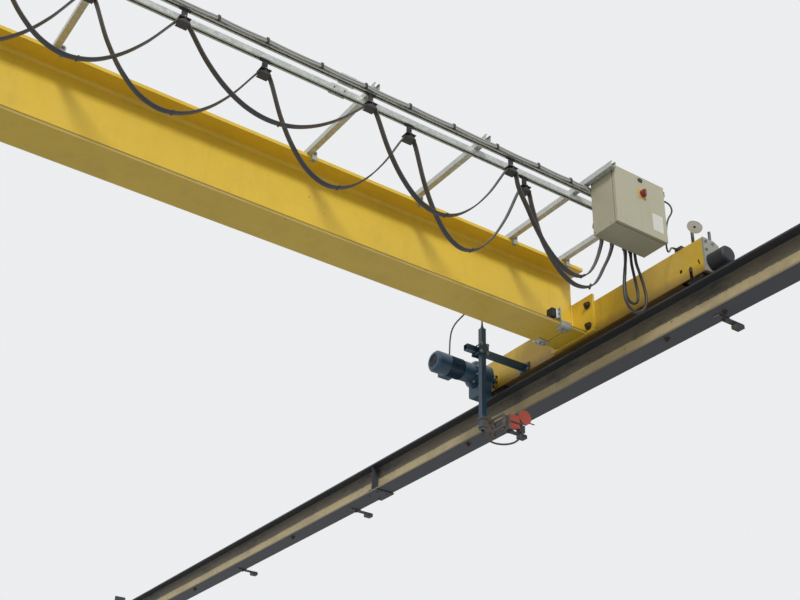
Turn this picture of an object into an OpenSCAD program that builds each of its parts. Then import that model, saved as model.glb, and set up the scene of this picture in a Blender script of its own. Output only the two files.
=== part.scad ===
// Single-girder overhead travelling crane on two runway beams.
// Frame: millimetres, +Z up, +X along the bridge girder towards the wall-side runway, +Y along the runways.
// Origin: centre of the bearing face under the wall-side runway beam at its middle support.

/* [Runway] */
// Distance from rail centre to rail centre
crane_span = 12000; // [9000:100:14000]
// Distance between two supports of a runway beam
runway_bay = 6000; // [4500:100:7000]
// Height of the runway beam
runway_h = 255; // [220:5:300]
// Width of the runway beam's flanges
runway_w = 165; // [150:5:200]
// Thickness of the runway beam's flanges
runway_flange_t = 13; // [9:1:18]
// Thickness of the runway beam's web
runway_web_t = 8; // [6:0.5:12]
// Thickness of the sole plates under the runway beam
sole_t = 10; // [6:1:20]
// Width of the flat rail bar
rail_w = 50; // [40:5:60]
// Height of the flat rail bar
rail_h = 40; // [30:5:50]

/* [Bridge girder] */
// Height of the rolled girder
girder_h = 550; // [400:10:600]
// Width of the girder's flanges
girder_w = 300; // [260:10:340]
// Thickness of the girder's flanges
girder_flange_t = 24; // [16:1:30]
// Thickness of the girder's web
girder_web_t = 12.5; // [8:0.5:20]
// Radius between web and flange
girder_root_r = 27; // [12:1:30]
// Thickness of the head plates between girder and end carriages
head_plate_t = 20; // [12:1:30]
// Height of the head plates
head_plate_h = 300; // [260:10:340]
// Width of the head plates
head_plate_w = 460; // [400:10:520]
// Distance of the trolley stops from the rail centres
stop_distance = 330; // [260:10:500]

/* [End carriages] */
// Distance between the two wheels of an end carriage
wheel_base = 2080; // [1800:10:2600]
// Distance of the girder's centre from the middle of the end carriages
girder_offset = 110; // [0:10:150]
// Width of the end carriage's box section
carriage_w = 148; // [140:2:180]
// Height of the end carriage's box section
carriage_h = 255; // [220:5:300]
// Wall of the end carriage's box section
carriage_wall = 8; // [6:1:10]
// Length of the end carriage past each wheel's axis
carriage_end = 120; // [112:2:160]
// Tread diameter of the travel wheels
wheel_d = 160; // [150:2:180]
// Diameter of the driven wheels' shafts
shaft_d = 40; // [34:1:50]
// Diameter of the idle wheels' axles
axle_d = 32; // [24:1:36]
// Diameter of the rubber buffers
buffer_d = 125; // [80:5:140]
// Length of the rubber buffers
buffer_len = 140; // [80:5:180]

/* [Travel drives] */
// Diameter of the drive motor's body
motor_d = 165; // [130:5:180]
// Length of the drive motor with its fan cowl
motor_len = 376; // [320:2:420]
// Length of the gearbox housing
gearbox_len = 126; // [110:2:160]
// Gap between the end carriage's side and the gearbox
drive_gap = 90; // [60:2:110]

/* [Festoon] */
// Height and width of the galvanised arms
arm_size = 40; // [30:2:50]
// Sheet thickness of arms and tracks
channel_t = 2.5; // [1.5:0.5:4]
// Height of the festoon tracks
track_h = 40; // [30:2:50]
// Width of the festoon tracks
track_w = 36; // [30:2:44]
// Distance of the inner track from the girder's centre
inner_track_y = 812; // [760:2:840]
// Distance between the two tracks
track_gap = 110; // [100:2:140]
// Width of the flat festoon cables
flat_cable_w = 36; // [24:2:44]
// Thickness of the flat festoon cables
flat_cable_t = 9; // [6:1:12]

/* [Control cabinet] */
// Width of the cabinet along the girder
cabinet_w = 443; // [380:1:500]
// Depth of the cabinet with its door
cabinet_d = 224; // [180:2:260]
// Height of the cabinet
cabinet_h = 439; // [360:1:460]
// Sheet thickness of cabinet and door
cabinet_wall = 3; // [2:0.5:4]
// Depth of the door's folded rim
door_d = 22; // [20:1:30]
// Distance from the outer track's centre to the cabinet's back
cabinet_gap = 41; // [38:1:80]

/* [Current collector] */
// Side of the square post
post_size = 40; // [30:2:50]
// Side of the square arm
bracket_size = 45; // [35:1:50]
// Distance of the collector's arm from the girder's centre
bracket_offset = 562; // [540:2:600]

/* [Hidden] */
$fn = 48;
eps = 0.01;

// Running clearance of a shaft in its bore, by radius
fit = 0.05;
// Small gap between faces that roll or lie on each other
rest_gap = 0.3;

// Runway heights and length
runway_len = 2 * runway_bay;
rail_top = sole_t + runway_h + rail_h;
stop_inset = 100;
stop_t = 20;
sole_w = runway_w + 30;
sole_len = 200;
stiffener_t = 8;
stiffener_clip = 20;

// Bridge at rest, measured along the runways from the middle support
bridge_y = -2790;

// End carriage
wheel_y = wheel_base / 2;
carriage_half = wheel_y + carriage_end;
wheel_z = rail_top + wheel_d / 2 + rest_gap;
carriage_z = rail_top + 13;
flange_d = wheel_d + 30;
flange_w = 10;
tread_w = rail_w + 12;
boss_d = 120;
boss_t = 14;
end_plate_t = 12;
end_plate_chamfer = 45;
buffer_z = wheel_z + 12;

// Girder
girder_y = girder_offset;
girder_z = carriage_z + 13;
girder_top = girder_z + girder_h;
girder_x0 = -crane_span + carriage_w / 2 + head_plate_t;
girder_x1 = -carriage_w / 2 - head_plate_t;
head_bolt_x = 180;
head_bolt_z = [52, 222];
head_bolt_r = 11;

// Bolt holes in the runway's bottom flange at each support
bearing_hole_r = 11;
bearing_spacing_x = 100;
bearing_spacing_y = 120;
support_y = [for (i = [-1, 0, 1]) i * (runway_bay - bearing_spacing_y)];

// Trolley end stops on the girder's bottom flange
stop_x = [-stop_distance, -crane_span + stop_distance];
trolley_rubber_d = 50;

// Drive
gearbox_x = -carriage_w / 2 - drive_gap;
gearbox_r = 100;
gearbox_drop = 190;
gearbox_foot_w = 150;
gearbox_corner = 30;
gearbox_rim = 14;
shaft_driven = -gearbox_x + 60;
sleeve_t = 8;
cowl_len = 120;
cowl_grille_r = 52;
motor_flange_t = 16;
motor_bell_len = 110;
terminal_box = [100, 60, 100];
terminal_x = gearbox_x - gearbox_len - motor_len + cowl_len + 12;
terminal_y = motor_d / 2 - 16;
fin_depth = 14;
fin_t = 3;
fin_count = 30;

// Festoon tracks
track_y = [girder_y - inner_track_y, girder_y - inner_track_y - track_gap];
track_z = girder_top - track_h;
track_x0 = -11500;
track_x1 = -440;
channel_lip = 8;
slot_w = 14;
coupler_x = [-2620, -5620, -8620];
coupler_len = 110;
coupler_t = 4;
coupler_slot = 24;

// Fixed cables along the outer track
track_cable_d = 13;
track_cable_y = track_y[1] - track_w / 2 - coupler_t - track_cable_d / 2 - 1;
track_cable_z = [track_z + 9, track_z + 24];
track_cable_x0 = track_x0 + 120;
track_box = [100, 36, 60];

// Cabinet
cabinet_x0 = -743;
cabinet_y1 = track_y[1] - cabinet_gap;
cabinet_y0 = cabinet_y1 - cabinet_d;
cabinet_z0 = girder_top + arm_size + 1 - cabinet_h;
cabinet_x1 = cabinet_x0 + cabinet_w;
door_gap = 5;
cabinet_front = cabinet_y0 + door_d + door_gap;
switch_place = [241, 305];
switch_x = cabinet_x0 + switch_place[0];
switch_z = cabinet_z0 + switch_place[1];
switch_plate_w = 66;
switch_plate_t = 3;
knob_d = 50;
knob_t = 14;
grip_w = 14;
grip_h = 16;
spindle_r = 5;

// Arms on the girder's top flange; the two by the cabinet carry it
arm_z = girder_top;
cabinet_arm_gap = 5;
arm_x = [cabinet_x0 - cabinet_arm_gap - arm_size / 2, -1589, -2429, -4129, -5829, -7529, -9229, -11229];
cabinet_arm_x = cabinet_x1 + arm_size / 2 + rest_gap;

// Festoon carriers on each track, from the wall side
carrier_x_inner = [-1190, -2100, -3110, -4170, -5160, -6160];
carrier_x_outer = [-1390, -2455, -3670, -4760, -5860];
roller_d = track_h - 2 * channel_t - 2 * rest_gap;
saddle_r = 38;
saddle_angle = 66;
saddle_w = flat_cable_w + 26;
clamp_t = 6;
clamp_drop = 78;
clamp_z = track_z - clamp_drop;
cable_r = saddle_r / cos(saddle_angle / 4) + flat_cable_t / 2 + rest_gap;
saddle_z = clamp_z - clamp_t - rest_gap - flat_cable_t / 2 - cable_r;
loop_depth_inner = [630, 570, 520, 560, 560, 560];
loop_depth_outer = [540, 390, 520, 540, 540];
loop_lean = -40;

// Junction boxes where the flat cables end at the trolley's side
end_box_x_inner = -7060;
end_box_x_outer = -6960;
end_box = [110, 70, 60];
end_box_z = clamp_z - end_box[2];

// Cable outlets behind the cabinet, where nothing of them shows from below
gland_d = 18;
gland_h = 16;
outlet_z = cabinet_z0 + 52;
outlet_y = cabinet_y1 + 27;
outlet_y_far = cabinet_y1 + 63;
flat_outlet_x = [-560, -650];
loop_wide_x = [-440, -355];
loop_narrow_x = [-410, -358];
track_outlet_x = [-720, -690];
track_outlet_z = cabinet_z0 + 111;

// Flat cables from the cabinet to below their first saddle, relative to the bridge
to_cabinet_inner = [
    [-560, -826, 535], [-560, -826, 495], [-575, -824, 440], [-600, -820, 375], [-635, -812, 300],
    [-672, -800, 215], [-712, -788, 155], [-770, -770, 125], [-840, -752, 130], [-920, -735, 185],
    [-1000, -720, 290], [-1065, -708, 420], [-1108, -703, 560], [-1135, -702, 660]
];
to_cabinet_outer = [
    [-650, -826, 535], [-650, -826, 495], [-665, -826, 440], [-690, -825, 365], [-730, -824, 275],
    [-785, -822, 195], [-855, -820, 150], [-940, -818, 150], [-1030, -816, 195], [-1120, -814, 280],
    [-1200, -813, 395], [-1265, -812, 520], [-1310, -812, 600], [-1335, -812, 660]
];

// Round cables, relative to the bridge
loop_cable_d = 20;
cabinet_loop_wide = [
    [-440, -826, 535], [-440, -826, 490], [-445, -826, 430], [-455, -826, 370], [-468, -826, 290],
    [-478, -826, 200],
    [-470, -826, 110], [-440, -826, 65], [-390, -826, 50], [-330, -826, 75], [-292, -826, 130],
    [-283, -826, 200],
    [-300, -826, 290], [-330, -826, 380], [-348, -826, 430], [-355, -826, 490], [-355, -826, 535]
];
cabinet_loop_narrow = [
    [-410, -790, 535], [-410, -790, 490], [-413, -790, 440], [-420, -790, 370], [-432, -790, 280],
    [-430, -790, 200],
    [-410, -790, 150], [-370, -790, 135], [-335, -790, 160], [-320, -790, 220], [-330, -790, 300],
    [-345, -790, 380],
    [-355, -790, 440], [-358, -790, 490], [-358, -790, 535]
];
side_cable_d = 12;
side_outlet = [cabinet_x1 + 15, cabinet_y0 + 67, cabinet_z0 + 387];
cabinet_side_route = [
    [-285, -1010, 870], [-272, -1010, 870], [-252, -1022, 867], [-230, -1038, 852], [-215, -1050, 825],
    [-212, -1056, 790], [-226, -1058, 752], [-250, -1056, 712], [-266, -1050, 660], [-274, -1044, 590],
    [-274, -1036, 530], [-262, -1024, 492], [-236, -1006, 482], [-200, -985, 502], [-155, -958, 550],
    [-118, -938, 588], [-85, -930, 600], [-66, -930, 600]
];
switch_box = [60, 60, 50];
switch_box_x = -50;
switch_box_y = -960;
motor_cable_d = 12;
motor_cable_route = [
    [-446, 1136, 451], [-446, 1136, 520], [-446, 1135, 600], [-447, 1128, 680], [-455, 1100, 735],
    [-465, 1060, 756],
    [-473, 1013, 770], [-475, 944, 786], [-478, 860, 800], [-483, 720, 818], [-487, 580, 834],
    [-490, 450, 848],
    [-492, 385, 858], [-492, 336, 858]
];
feed_cable_route = [
    [-515, 629, 543], [-515, 629, 600], [-516, 622, 660], [-518, 600, 715], [-521, 560, 765],
    [-524, 505, 805],
    [-526, 440, 840], [-528, 385, 858], [-528, 336, 858]
];
collector_cable_d = 14;
collector_cable_route = [
    [-312, 460, -333], [-312, 460, -350], [-322, 473, -374], [-345, 498, -394], [-382, 528, -404],
    [-420, 555, -404], [-458, 585, -392], [-490, 608, -370], [-508, 624, -346], [-515, 629, -324],
    [-515, 629, -309]
];
track_route = [
    [[-720, 0, 594], [-720, 0, 700], [-721, 0, 780], [-730, 0, 820], [-752, 0, 843], [-785, 0, 850]],
    [[-690, 0, 594], [-690, 0, 700], [-690, 0, 780], [-693, 0, 825], [-708, 0, 852], [-740, 0, 864],
        [-790, 0, 865]]
];

// Junction box on the girder's top flange
girder_box = [120, 60, 50];
girder_box_x = -570;
girder_box_y = girder_y + girder_w / 2 + rest_gap;
girder_box_z = girder_top - 48;
girder_gland_x = [-528, -492];
girder_gland_z = girder_box_z + 25;

// Door hinge along the cabinet's lower edge, inside the door's rim
hinge_y = cabinet_y0 + 12;
hinge_z = cabinet_z0 + 10;
hinge_pin_r = 3;
hinge_ear_r = 5.5;
hinge_ear_t = 4;
hinge_ear_gap = 1;
hinge_ear_root = 33;
hinge_slot_w = 6;

// Current collector
bracket_y = girder_y + bracket_offset;
bracket_z = carriage_z + 37;
bracket_wall = 4;
bracket_plate = [10, 112, 66];
post_y = bracket_y - bracket_size / 2 - rest_gap - post_size / 2;
post_x = -515;
post_z0 = bracket_z - 654;
post_z1 = bracket_z + 172;
bracket_x0 = post_x - 122;
collector_y = post_y - 169;
collector_arm_x = [37, 85];
collector_arm_z = [67, -19];
spindle_z = 77;
collector_spindle_r = 4.5;

// Signal disc on a stalk, standing on the end carriage
disc_at = [-83, -1125, carriage_z + carriage_h + 100];
disc_r = 52;
disc_t = 10;
disc_tilt = 210;
disc_stub = 42;
stalk_at = [-30, -1050];
stalk_h = 150;

// Flat brackets under the runway beam
strap_spacing = 2200;
strap_first = -3940;
strap_count = 5;
strap_w = 45;
strap_t = 8;
strap_x0 = -5;
strap_x1 = 222;

// Shared shapes

// Section of a rolled I-beam, standing on its bottom flange at the origin
module i_section(h, w, flange, web, root) {
    difference() {
        translate([-w / 2, 0]) square([w, h]);
        for (side = [-1, 1])
            scale([side, 1])
                i_side_gap(h, w, flange, web, root);
    }
}

module i_side_gap(h, w, flange, web, root) {
    x0 = web / 2;
    difference() {
        translate([x0, flange]) square([w, h - 2 * flange]);
        for (z = [flange, h - flange - root])
            translate([x0, z]) square([root, root]);
    }
    for (z = [flange + root, h - flange - root])
        translate([x0 + root, z]) circle(r = root);
}

// Runs a section drawn in X and Y along +Y from y0
module along_y(len, y0) {
    translate([0, y0 + len, 0]) rotate([90, 0, 0]) linear_extrude(len) children();
}

// Runs a section drawn in X and Y along +X from x0
module along_x(len, x0) {
    translate([x0, 0, 0]) rotate([90, 0, 90]) linear_extrude(len) children();
}

// Section of an open C-channel with lips, its slot at the top
module channel_section(w, h, t, lip) {
    difference() {
        translate([-w / 2, 0]) square([w, h]);
        translate([-w / 2 + t, t]) square([w - 2 * t, h - 2 * t]);
        translate([-w / 2 + lip, t]) square([w - 2 * lip, h]);
    }
}

module rod_x(d, len, x0) {
    translate([x0, 0, 0]) rotate([0, 90, 0]) cylinder(d = d, h = len);
}

// Puts children on the bridge, at its rest place on the runways
module on_bridge() {
    translate([0, bridge_y, 0]) children();
}

// Mirrors children from the wall side to the far side of the bridge
module far_side() {
    translate([-crane_span, 0, 0]) mirror([1, 0, 0]) children();
}

// Runways

// Rolled beam with a sole plate and a pair of web stiffeners at each support
module runway_beam() {
    difference() {
        union() {
            translate([0, 0, sole_t])
                along_y(runway_len, -runway_len / 2)
                    i_section(runway_h, runway_w, runway_flange_t, runway_web_t, runway_web_t);
            for (y = support_y) {
                translate([-sole_w / 2, y - sole_len / 2, 0]) cube([sole_w, sole_len, sole_t + eps]);
                for (side = [-1, 1])
                    translate([0, 0, sole_t])
                        along_y(stiffener_t, y - stiffener_t / 2)
                            scale([side, 1])
                                web_stiffener();
            }
        }
        for (y = support_y, x = [-1, 1], side = [-1, 1])
            translate([x * bearing_spacing_x / 2, y + side * bearing_spacing_y / 2, -1])
                cylinder(r = bearing_hole_r, h = sole_t + runway_flange_t + 2);
    }
}

// Plate between the flanges, its inner corners cut clear of the root radius
module web_stiffener() {
    x0 = runway_web_t / 2 - eps;
    x1 = runway_w / 2 - 8;
    z0 = runway_flange_t - eps;
    z1 = runway_h - runway_flange_t + eps;
    polygon([
        [x0 + stiffener_clip, z0], [x1, z0], [x1, z1], [x0 + stiffener_clip, z1],
        [x0, z1 - stiffener_clip], [x0, z0 + stiffener_clip]
    ]);
}

module runway_beam_wall() {
    color("#4a4f52") runway_beam();
}

module runway_beam_far() {
    color("#4a4f52") translate([-crane_span, 0, 0]) runway_beam();
}

module rail() {
    translate([-rail_w / 2, -runway_len / 2, sole_t + runway_h]) cube([rail_w, runway_len, rail_h]);
}

module rail_wall() {
    color("#5d564f") rail();
}

module rail_far() {
    color("#5d564f") translate([-crane_span, 0, 0]) rail();
}

// Plate that straddles the rail near its end, with a gusset behind it
module runway_stop() {
    stop_w = 130;
    stop_top = buffer_z + buffer_d / 2 - rail_top;
    gusset_len = stop_inset - stop_t;
    translate([0, runway_len / 2 - stop_inset, rail_top]) {
        difference() {
            translate([-stop_w / 2, 0, -rail_h]) cube([stop_w, stop_t, stop_top + rail_h]);
            translate([-rail_w / 2 - rest_gap, -1, -rail_h - 1])
                cube([rail_w + 2 * rest_gap, stop_t + 2, rail_h + 1 + rest_gap]);
        }
        translate([-6, stop_t - eps, 0])
            rotate([90, 0, 90])
                linear_extrude(12)
                    polygon([
                        [0, rest_gap], [gusset_len, rest_gap], [gusset_len, 20], [20, stop_top],
                        [0, stop_top]
                    ]);
    }
}

module runway_stops() {
    color("#4a4f52")
        for (x = [0, -crane_span], turn = [0, 1])
            translate([x, 0, 0]) mirror([0, turn, 0]) runway_stop();
}

// Flat bars under the bottom flange, hooked over its outer edge, with a short box at their free end
module runway_brackets() {
    color("#3f4346")
        for (i = [0:strap_count - 1])
            translate([0, strap_first + i * strap_spacing, sole_t]) runway_bracket();
}

module runway_bracket() {
    edge = runway_w / 2 + rest_gap;
    hook_t = 12;
    lip_z = runway_flange_t + rest_gap;
    translate([strap_x0, -strap_w / 2, -strap_t - rest_gap]) cube([strap_x1 - strap_x0, strap_w, strap_t]);
    translate([edge, -strap_w / 2, -rest_gap - eps]) cube([hook_t, strap_w, lip_z + hook_t]);
    translate([edge - 22, -strap_w / 2, lip_z]) cube([22 + eps, strap_w, hook_t - rest_gap]);
    translate([strap_x1 - 62, -strap_w / 2 - 6, -strap_t - rest_gap - 26])
        cube([62, strap_w + 12, 26 + eps]);
}

// Bridge structure

module bridge_girder() {
    color("#d9b83c")
        on_bridge()
            translate([0, girder_y, girder_z])
                along_x(girder_x1 - girder_x0, girder_x0)
                    i_section(girder_h, girder_w, girder_flange_t, girder_web_t, girder_root_r);
}

module head_plate() {
    translate([girder_x1, girder_y, girder_z])
        difference() {
            translate([0, -head_plate_w / 2, 0]) cube([head_plate_t, head_plate_w, head_plate_h]);
            for (y = [-1, 1], z = head_bolt_z)
                translate([0, y * head_bolt_x, z]) rod_x(2 * head_bolt_r, head_plate_t + 2, -1);
        }
}

module head_plates() {
    color("#d9b83c")
        on_bridge() {
            head_plate();
            far_side() head_plate();
        }
}

// Box section, open underneath at both wheels: a bearing hub and bore for the driven shaft,
// slots that drop over the idle axle, and two openings in the inner wall
module end_carriage() {
    inside_w = carriage_w - 2 * carriage_wall;
    pocket = flange_d + 20;
    idle_slot = axle_d + 2 * fit;
    difference() {
        union() {
            translate([-carriage_w / 2, -carriage_half, carriage_z])
                cube([carriage_w, 2 * carriage_half, carriage_h]);
            translate([0, wheel_y, wheel_z]) rod_x(boss_d, boss_t + 1, -carriage_w / 2 - boss_t);
        }
        translate([-inside_w / 2, -carriage_half - 1, carriage_z + carriage_wall])
            cube([inside_w, 2 * carriage_half + 2, carriage_h - 2 * carriage_wall]);
        for (y = [-wheel_y, wheel_y])
            translate([-inside_w / 2, y - pocket / 2, carriage_z - 1])
                cube([inside_w, pocket, carriage_h / 2]);
        translate([0, wheel_y, wheel_z])
            rod_x(shaft_d + 2 * fit, carriage_w + boss_t + 2, -carriage_w / 2 - boss_t - 1);
        translate([0, -wheel_y, wheel_z]) {
            rod_x(idle_slot, carriage_w + 2, -carriage_w / 2 - 1);
            translate([-carriage_w / 2 - 1, -idle_slot / 2, -wheel_z])
                cube([carriage_w + 2, idle_slot, wheel_z]);
            translate([0, 84, 21]) rod_x(28, 2 * carriage_wall, -carriage_w / 2 - 1);
            translate([0, -76, 20]) rotate([-14, 0, 0]) wall_slot();
        }
        translate([0, girder_y, girder_z])
            for (y = [-1, 1], z = head_bolt_z)
                translate([0, y * head_bolt_x, z]) rod_x(2 * head_bolt_r, carriage_w, -carriage_w);
    }
}

// Upright slot through the inner wall
module wall_slot() {
    for (z = [-14, 14])
        translate([0, 0, z]) rod_x(14, 2 * carriage_wall, -carriage_w / 2 - 1);
    translate([-carriage_w / 2 - 1, -7, -14]) cube([2 * carriage_wall, 14, 28]);
}

module end_carriage_wall() {
    color("#d9b83c") on_bridge() end_carriage();
}

module end_carriage_far() {
    color("#d9b83c") on_bridge() far_side() end_carriage();
}

// Both ends of both carriages
module carriage_ends() {
    for (far = [0, 1], turn = [0, 1])
        translate([-far * crane_span, 0, 0])
            mirror([far, 0, 0])
                mirror([0, turn, 0])
                    translate([0, carriage_half, 0])
                        children();
}

module buffer_plates() {
    color("#9a9d98")
        on_bridge()
            carriage_ends()
                translate([0, 0, carriage_z]) along_y(end_plate_t, 0) buffer_plate();
}

// Plate across the box's end, its two outer corners cut off
module buffer_plate() {
    w = carriage_w / 2;
    c = end_plate_chamfer;
    h = carriage_h;
    polygon([[-w, 0], [w - c, 0], [w, c / 2], [w, h - c / 2], [w - c, h], [-w, h]]);
}

module buffers() {
    color("#1b2333")
        on_bridge()
            carriage_ends()
                translate([0, end_plate_t, buffer_z])
                    rotate([-90, 0, 0])
                        rotate_extrude()
                            polygon([[0, 0], [buffer_d / 2, 0], [buffer_d / 2, buffer_len - 12],
                                [buffer_d / 2 - 12, buffer_len], [0, buffer_len]]);
}

// Angle brackets clamped on both edges of the bottom flange, with a rubber on each
module trolley_stops() {
    for (i = [0, 1], side = [-1, 1])
        translate([stop_x[i], girder_y, girder_z])
            mirror([i, 0, 0])
                mirror([0, side < 0 ? 1 : 0, 0])
                    children();
}

module trolley_stop_brackets() {
    color("#c8cdc8") on_bridge() trolley_stops() trolley_stop_bracket();
}

module trolley_stop_bracket() {
    y0 = girder_w / 2 - 100;
    translate([0, y0, girder_flange_t]) cube([90, 100, 8]);
    translate([0, y0, girder_flange_t + 8]) cube([8, 100, 110]);
}

module trolley_stop_rubbers() {
    color("#222428")
        on_bridge()
            trolley_stops()
                translate([0, girder_w / 2 - 50, girder_flange_t + 70])
                    rotate([0, -90, 0]) cylinder(d = trolley_rubber_d, h = 60);
}

// Stalk on the end carriage with a tilted arm for the disc, and a short rod beside it
module signal_stalk() {
    base = [40, 60, 12];
    top_z = carriage_z + carriage_h;
    beam = 16;
    beam_z = disc_at[2] + 27;
    color("#9a9d98")
        on_bridge() {
            translate([stalk_at[0] - base[0] / 2, stalk_at[1] - base[1] / 2, top_z]) cube(base);
            translate([stalk_at[0], stalk_at[1], top_z + base[2] - eps])
                cylinder(d = 22, h = stalk_h - base[2]);
            translate([stalk_at[0] - beam / 2, disc_at[1] - beam / 2, beam_z])
                cube([beam, stalk_at[1] - disc_at[1] + beam / 2, beam]);
            translate([disc_at[0] + beam, disc_at[1] - beam / 2, beam_z])
                cube([stalk_at[0] - disc_at[0] - beam, beam, beam]);
            translate(disc_at)
                rotate([0, disc_tilt, 0])
                    translate([0, 0, -disc_stub]) cylinder(d = 10, h = disc_stub - disc_t / 2 - rest_gap);
            translate([20, -1150, top_z]) cylinder(d = 20, h = 82);
        }
}

module signal_disc() {
    color("#e4e4dc")
        on_bridge()
            translate(disc_at)
                rotate([0, disc_tilt, 0])
                    translate([0, 0, -disc_t / 2]) cylinder(r = disc_r, h = disc_t);
}

// Wheels

// Double-flanged wheel, turned in one piece with its shaft along X
module travel_wheel(d, inner_len) {
    r = wheel_d / 2;
    t = tread_w / 2;
    f = t + flange_w;
    hub = d / 2 + 14;
    s = carriage_w / 2 - 2;
    rotate([0, 90, 0])
        rotate_extrude()
            polygon([
                [0, -inner_len], [d / 2, -inner_len], [d / 2, -f - 10], [hub, -f - 10], [hub, -f],
                [flange_d / 2 - 3, -f], [flange_d / 2, -f + 3], [flange_d / 2, -t - 2], [r, -t], [r, t],
                [flange_d / 2, t + 2], [flange_d / 2, f - 3], [flange_d / 2 - 3, f],
                [hub, f], [hub, f + 10], [d / 2, f + 10], [d / 2, s], [0, s]
            ]);
}

module idle_wheel() {
    translate([0, -wheel_y, wheel_z]) travel_wheel(axle_d, carriage_w / 2 - 2);
}

module driven_wheel() {
    translate([0, wheel_y, wheel_z]) travel_wheel(shaft_d, shaft_driven);
}

module wheel_wall_south() {
    color("#3c3a38") on_bridge() idle_wheel();
}

module wheel_wall_north() {
    color("#3c3a38") on_bridge() driven_wheel();
}

module wheel_far_south() {
    color("#3c3a38") on_bridge() far_side() idle_wheel();
}

module wheel_far_north() {
    color("#3c3a38") on_bridge() far_side() driven_wheel();
}

// Travel drives

// Housing that drops below the shaft, with a rim towards the motor and a sleeve round the shaft
module drive_gearbox() {
    x0 = gearbox_x - gearbox_len;
    sleeve_len = drive_gap - boss_t - rest_gap;
    translate([0, wheel_y, wheel_z])
        difference() {
            union() {
                rod_x(shaft_d + 2 * sleeve_t, sleeve_len + eps, gearbox_x - eps);
                rod_x(2 * gearbox_r, gearbox_len, x0);
                rod_x(2 * gearbox_r + gearbox_rim, gearbox_rim, x0);
                along_x(gearbox_len - gearbox_rim - 4, x0 + gearbox_rim + 2) gearbox_foot();
            }
            rod_x(shaft_d + 2 * fit, shaft_driven, -shaft_driven - 2);
        }
}

module gearbox_foot() {
    w = gearbox_foot_w / 2;
    translate([-w, -gearbox_drop + gearbox_corner]) square([2 * w, gearbox_drop - gearbox_corner]);
    translate([-w + gearbox_corner, -gearbox_drop]) square([2 * (w - gearbox_corner), gearbox_corner + 1]);
    for (y = [-w + gearbox_corner, w - gearbox_corner])
        translate([y, -gearbox_drop + gearbox_corner]) circle(r = gearbox_corner);
}

module drive_gearboxes() {
    color("#2d556e")
        on_bridge() {
            drive_gearbox();
            far_side() drive_gearbox();
        }
}

// Bell, finned body and fan cowl behind a flange, with the terminal box on the north side
module drive_motor() {
    x1 = gearbox_x - gearbox_len;
    x0 = x1 - motor_len;
    bell_x = x1 - motor_flange_t - motor_bell_len;
    translate([0, wheel_y, wheel_z]) {
        rod_x(motor_d + 24, motor_flange_t, x1 - motor_flange_t);
        rod_x(motor_d - 8, motor_bell_len + 2 * eps, bell_x - eps);
        along_x(bell_x - x0 - cowl_len + 2 * eps, x0 + cowl_len - eps) motor_section();
        translate([x0, 0, 0]) rotate([0, 90, 0]) rotate_extrude() cowl_profile();
        translate([terminal_x, terminal_y, -terminal_box[2] / 2]) cube(terminal_box);
    }
}

// Round core with straight cooling fins
module motor_section() {
    core = motor_d / 2 - fin_depth;
    circle(r = core);
    for (i = [0:fin_count - 1])
        rotate(i * 360 / fin_count)
            translate([core - 2, -fin_t / 2]) square([fin_depth + 2, fin_t]);
}

// Half section of the cowl, its grille face set back behind a rolled edge
module cowl_profile() {
    r = motor_d / 2 + 3;
    polygon([
        [0, 8], [cowl_grille_r, 8], [cowl_grille_r, 0], [r - 16, 0], [r, 16], [r, cowl_len], [0, cowl_len]
    ]);
}

module drive_motors() {
    color("#2d556e")
        on_bridge() {
            drive_motor();
            far_side() drive_motor();
        }
}

// Festoon system

// Arms lie across the top flange and reach out over both tracks; the two by the cabinet reach further
module festoon_arms() {
    color("#c8cdc8")
        on_bridge() {
            for (x = arm_x)
                festoon_arm(x, x == arm_x[0] ? cabinet_y0 - 25 : track_y[1] - 28);
            festoon_arm(cabinet_arm_x, cabinet_front);
            for (x = concat(arm_x, [cabinet_arm_x]), side = [0, 1])
                translate([x + arm_size / 2 - eps, girder_y, girder_top]) mirror([0, side, 0]) arm_clamp();
            for (y = [cabinet_front + 50, cabinet_y1 - 50])
                translate([cabinet_x0 - cabinet_arm_gap - eps, y, arm_z + 5])
                    cube([cabinet_arm_gap - rest_gap, 30, arm_size - 10]);
        }
}

module festoon_arm(x, y0) {
    translate([x, 0, arm_z])
        along_y(girder_y + girder_w / 2 - y0, y0)
            channel_section(arm_size, arm_size, channel_t, channel_lip + 2);
}

// Hook beside an arm that grips one edge of the top flange
module arm_clamp() {
    edge = girder_w / 2 + rest_gap;
    lip = 26;
    t = 8;
    w = 34;
    translate([0, edge, -girder_flange_t - rest_gap - t]) cube([w, t, girder_flange_t + rest_gap + t + 30]);
    translate([0, edge - lip, -girder_flange_t - rest_gap - t]) cube([w, lip + eps, t]);
    translate([0, edge - lip, rest_gap]) cube([t - 2, lip + eps, 30 - rest_gap]);
}

// C-rails with the slot underneath, hung under the arms, and the sleeves that join their lengths
module festoon_track(y) {
    sleeve_gap = coupler_t + rest_gap;
    w = track_w + 2 * sleeve_gap;
    on_bridge()
        translate([0, y, track_z + track_h]) {
            along_x(track_x1 - track_x0, track_x0)
                scale([1, -1])
                    channel_section(track_w, track_h, channel_t, (track_w - slot_w) / 2);
            for (x = coupler_x)
                translate([0, 0, sleeve_gap])
                    along_x(coupler_len, x - coupler_len / 2)
                        scale([1, -1])
                            channel_section(w, track_h + 2 * sleeve_gap, coupler_t, (w - coupler_slot) / 2);
        }
}

module festoon_track_inner() {
    color("#c8cdc8") festoon_track(track_y[0]);
}

module festoon_track_outer() {
    color("#c8cdc8") festoon_track(track_y[1]);
}

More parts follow.
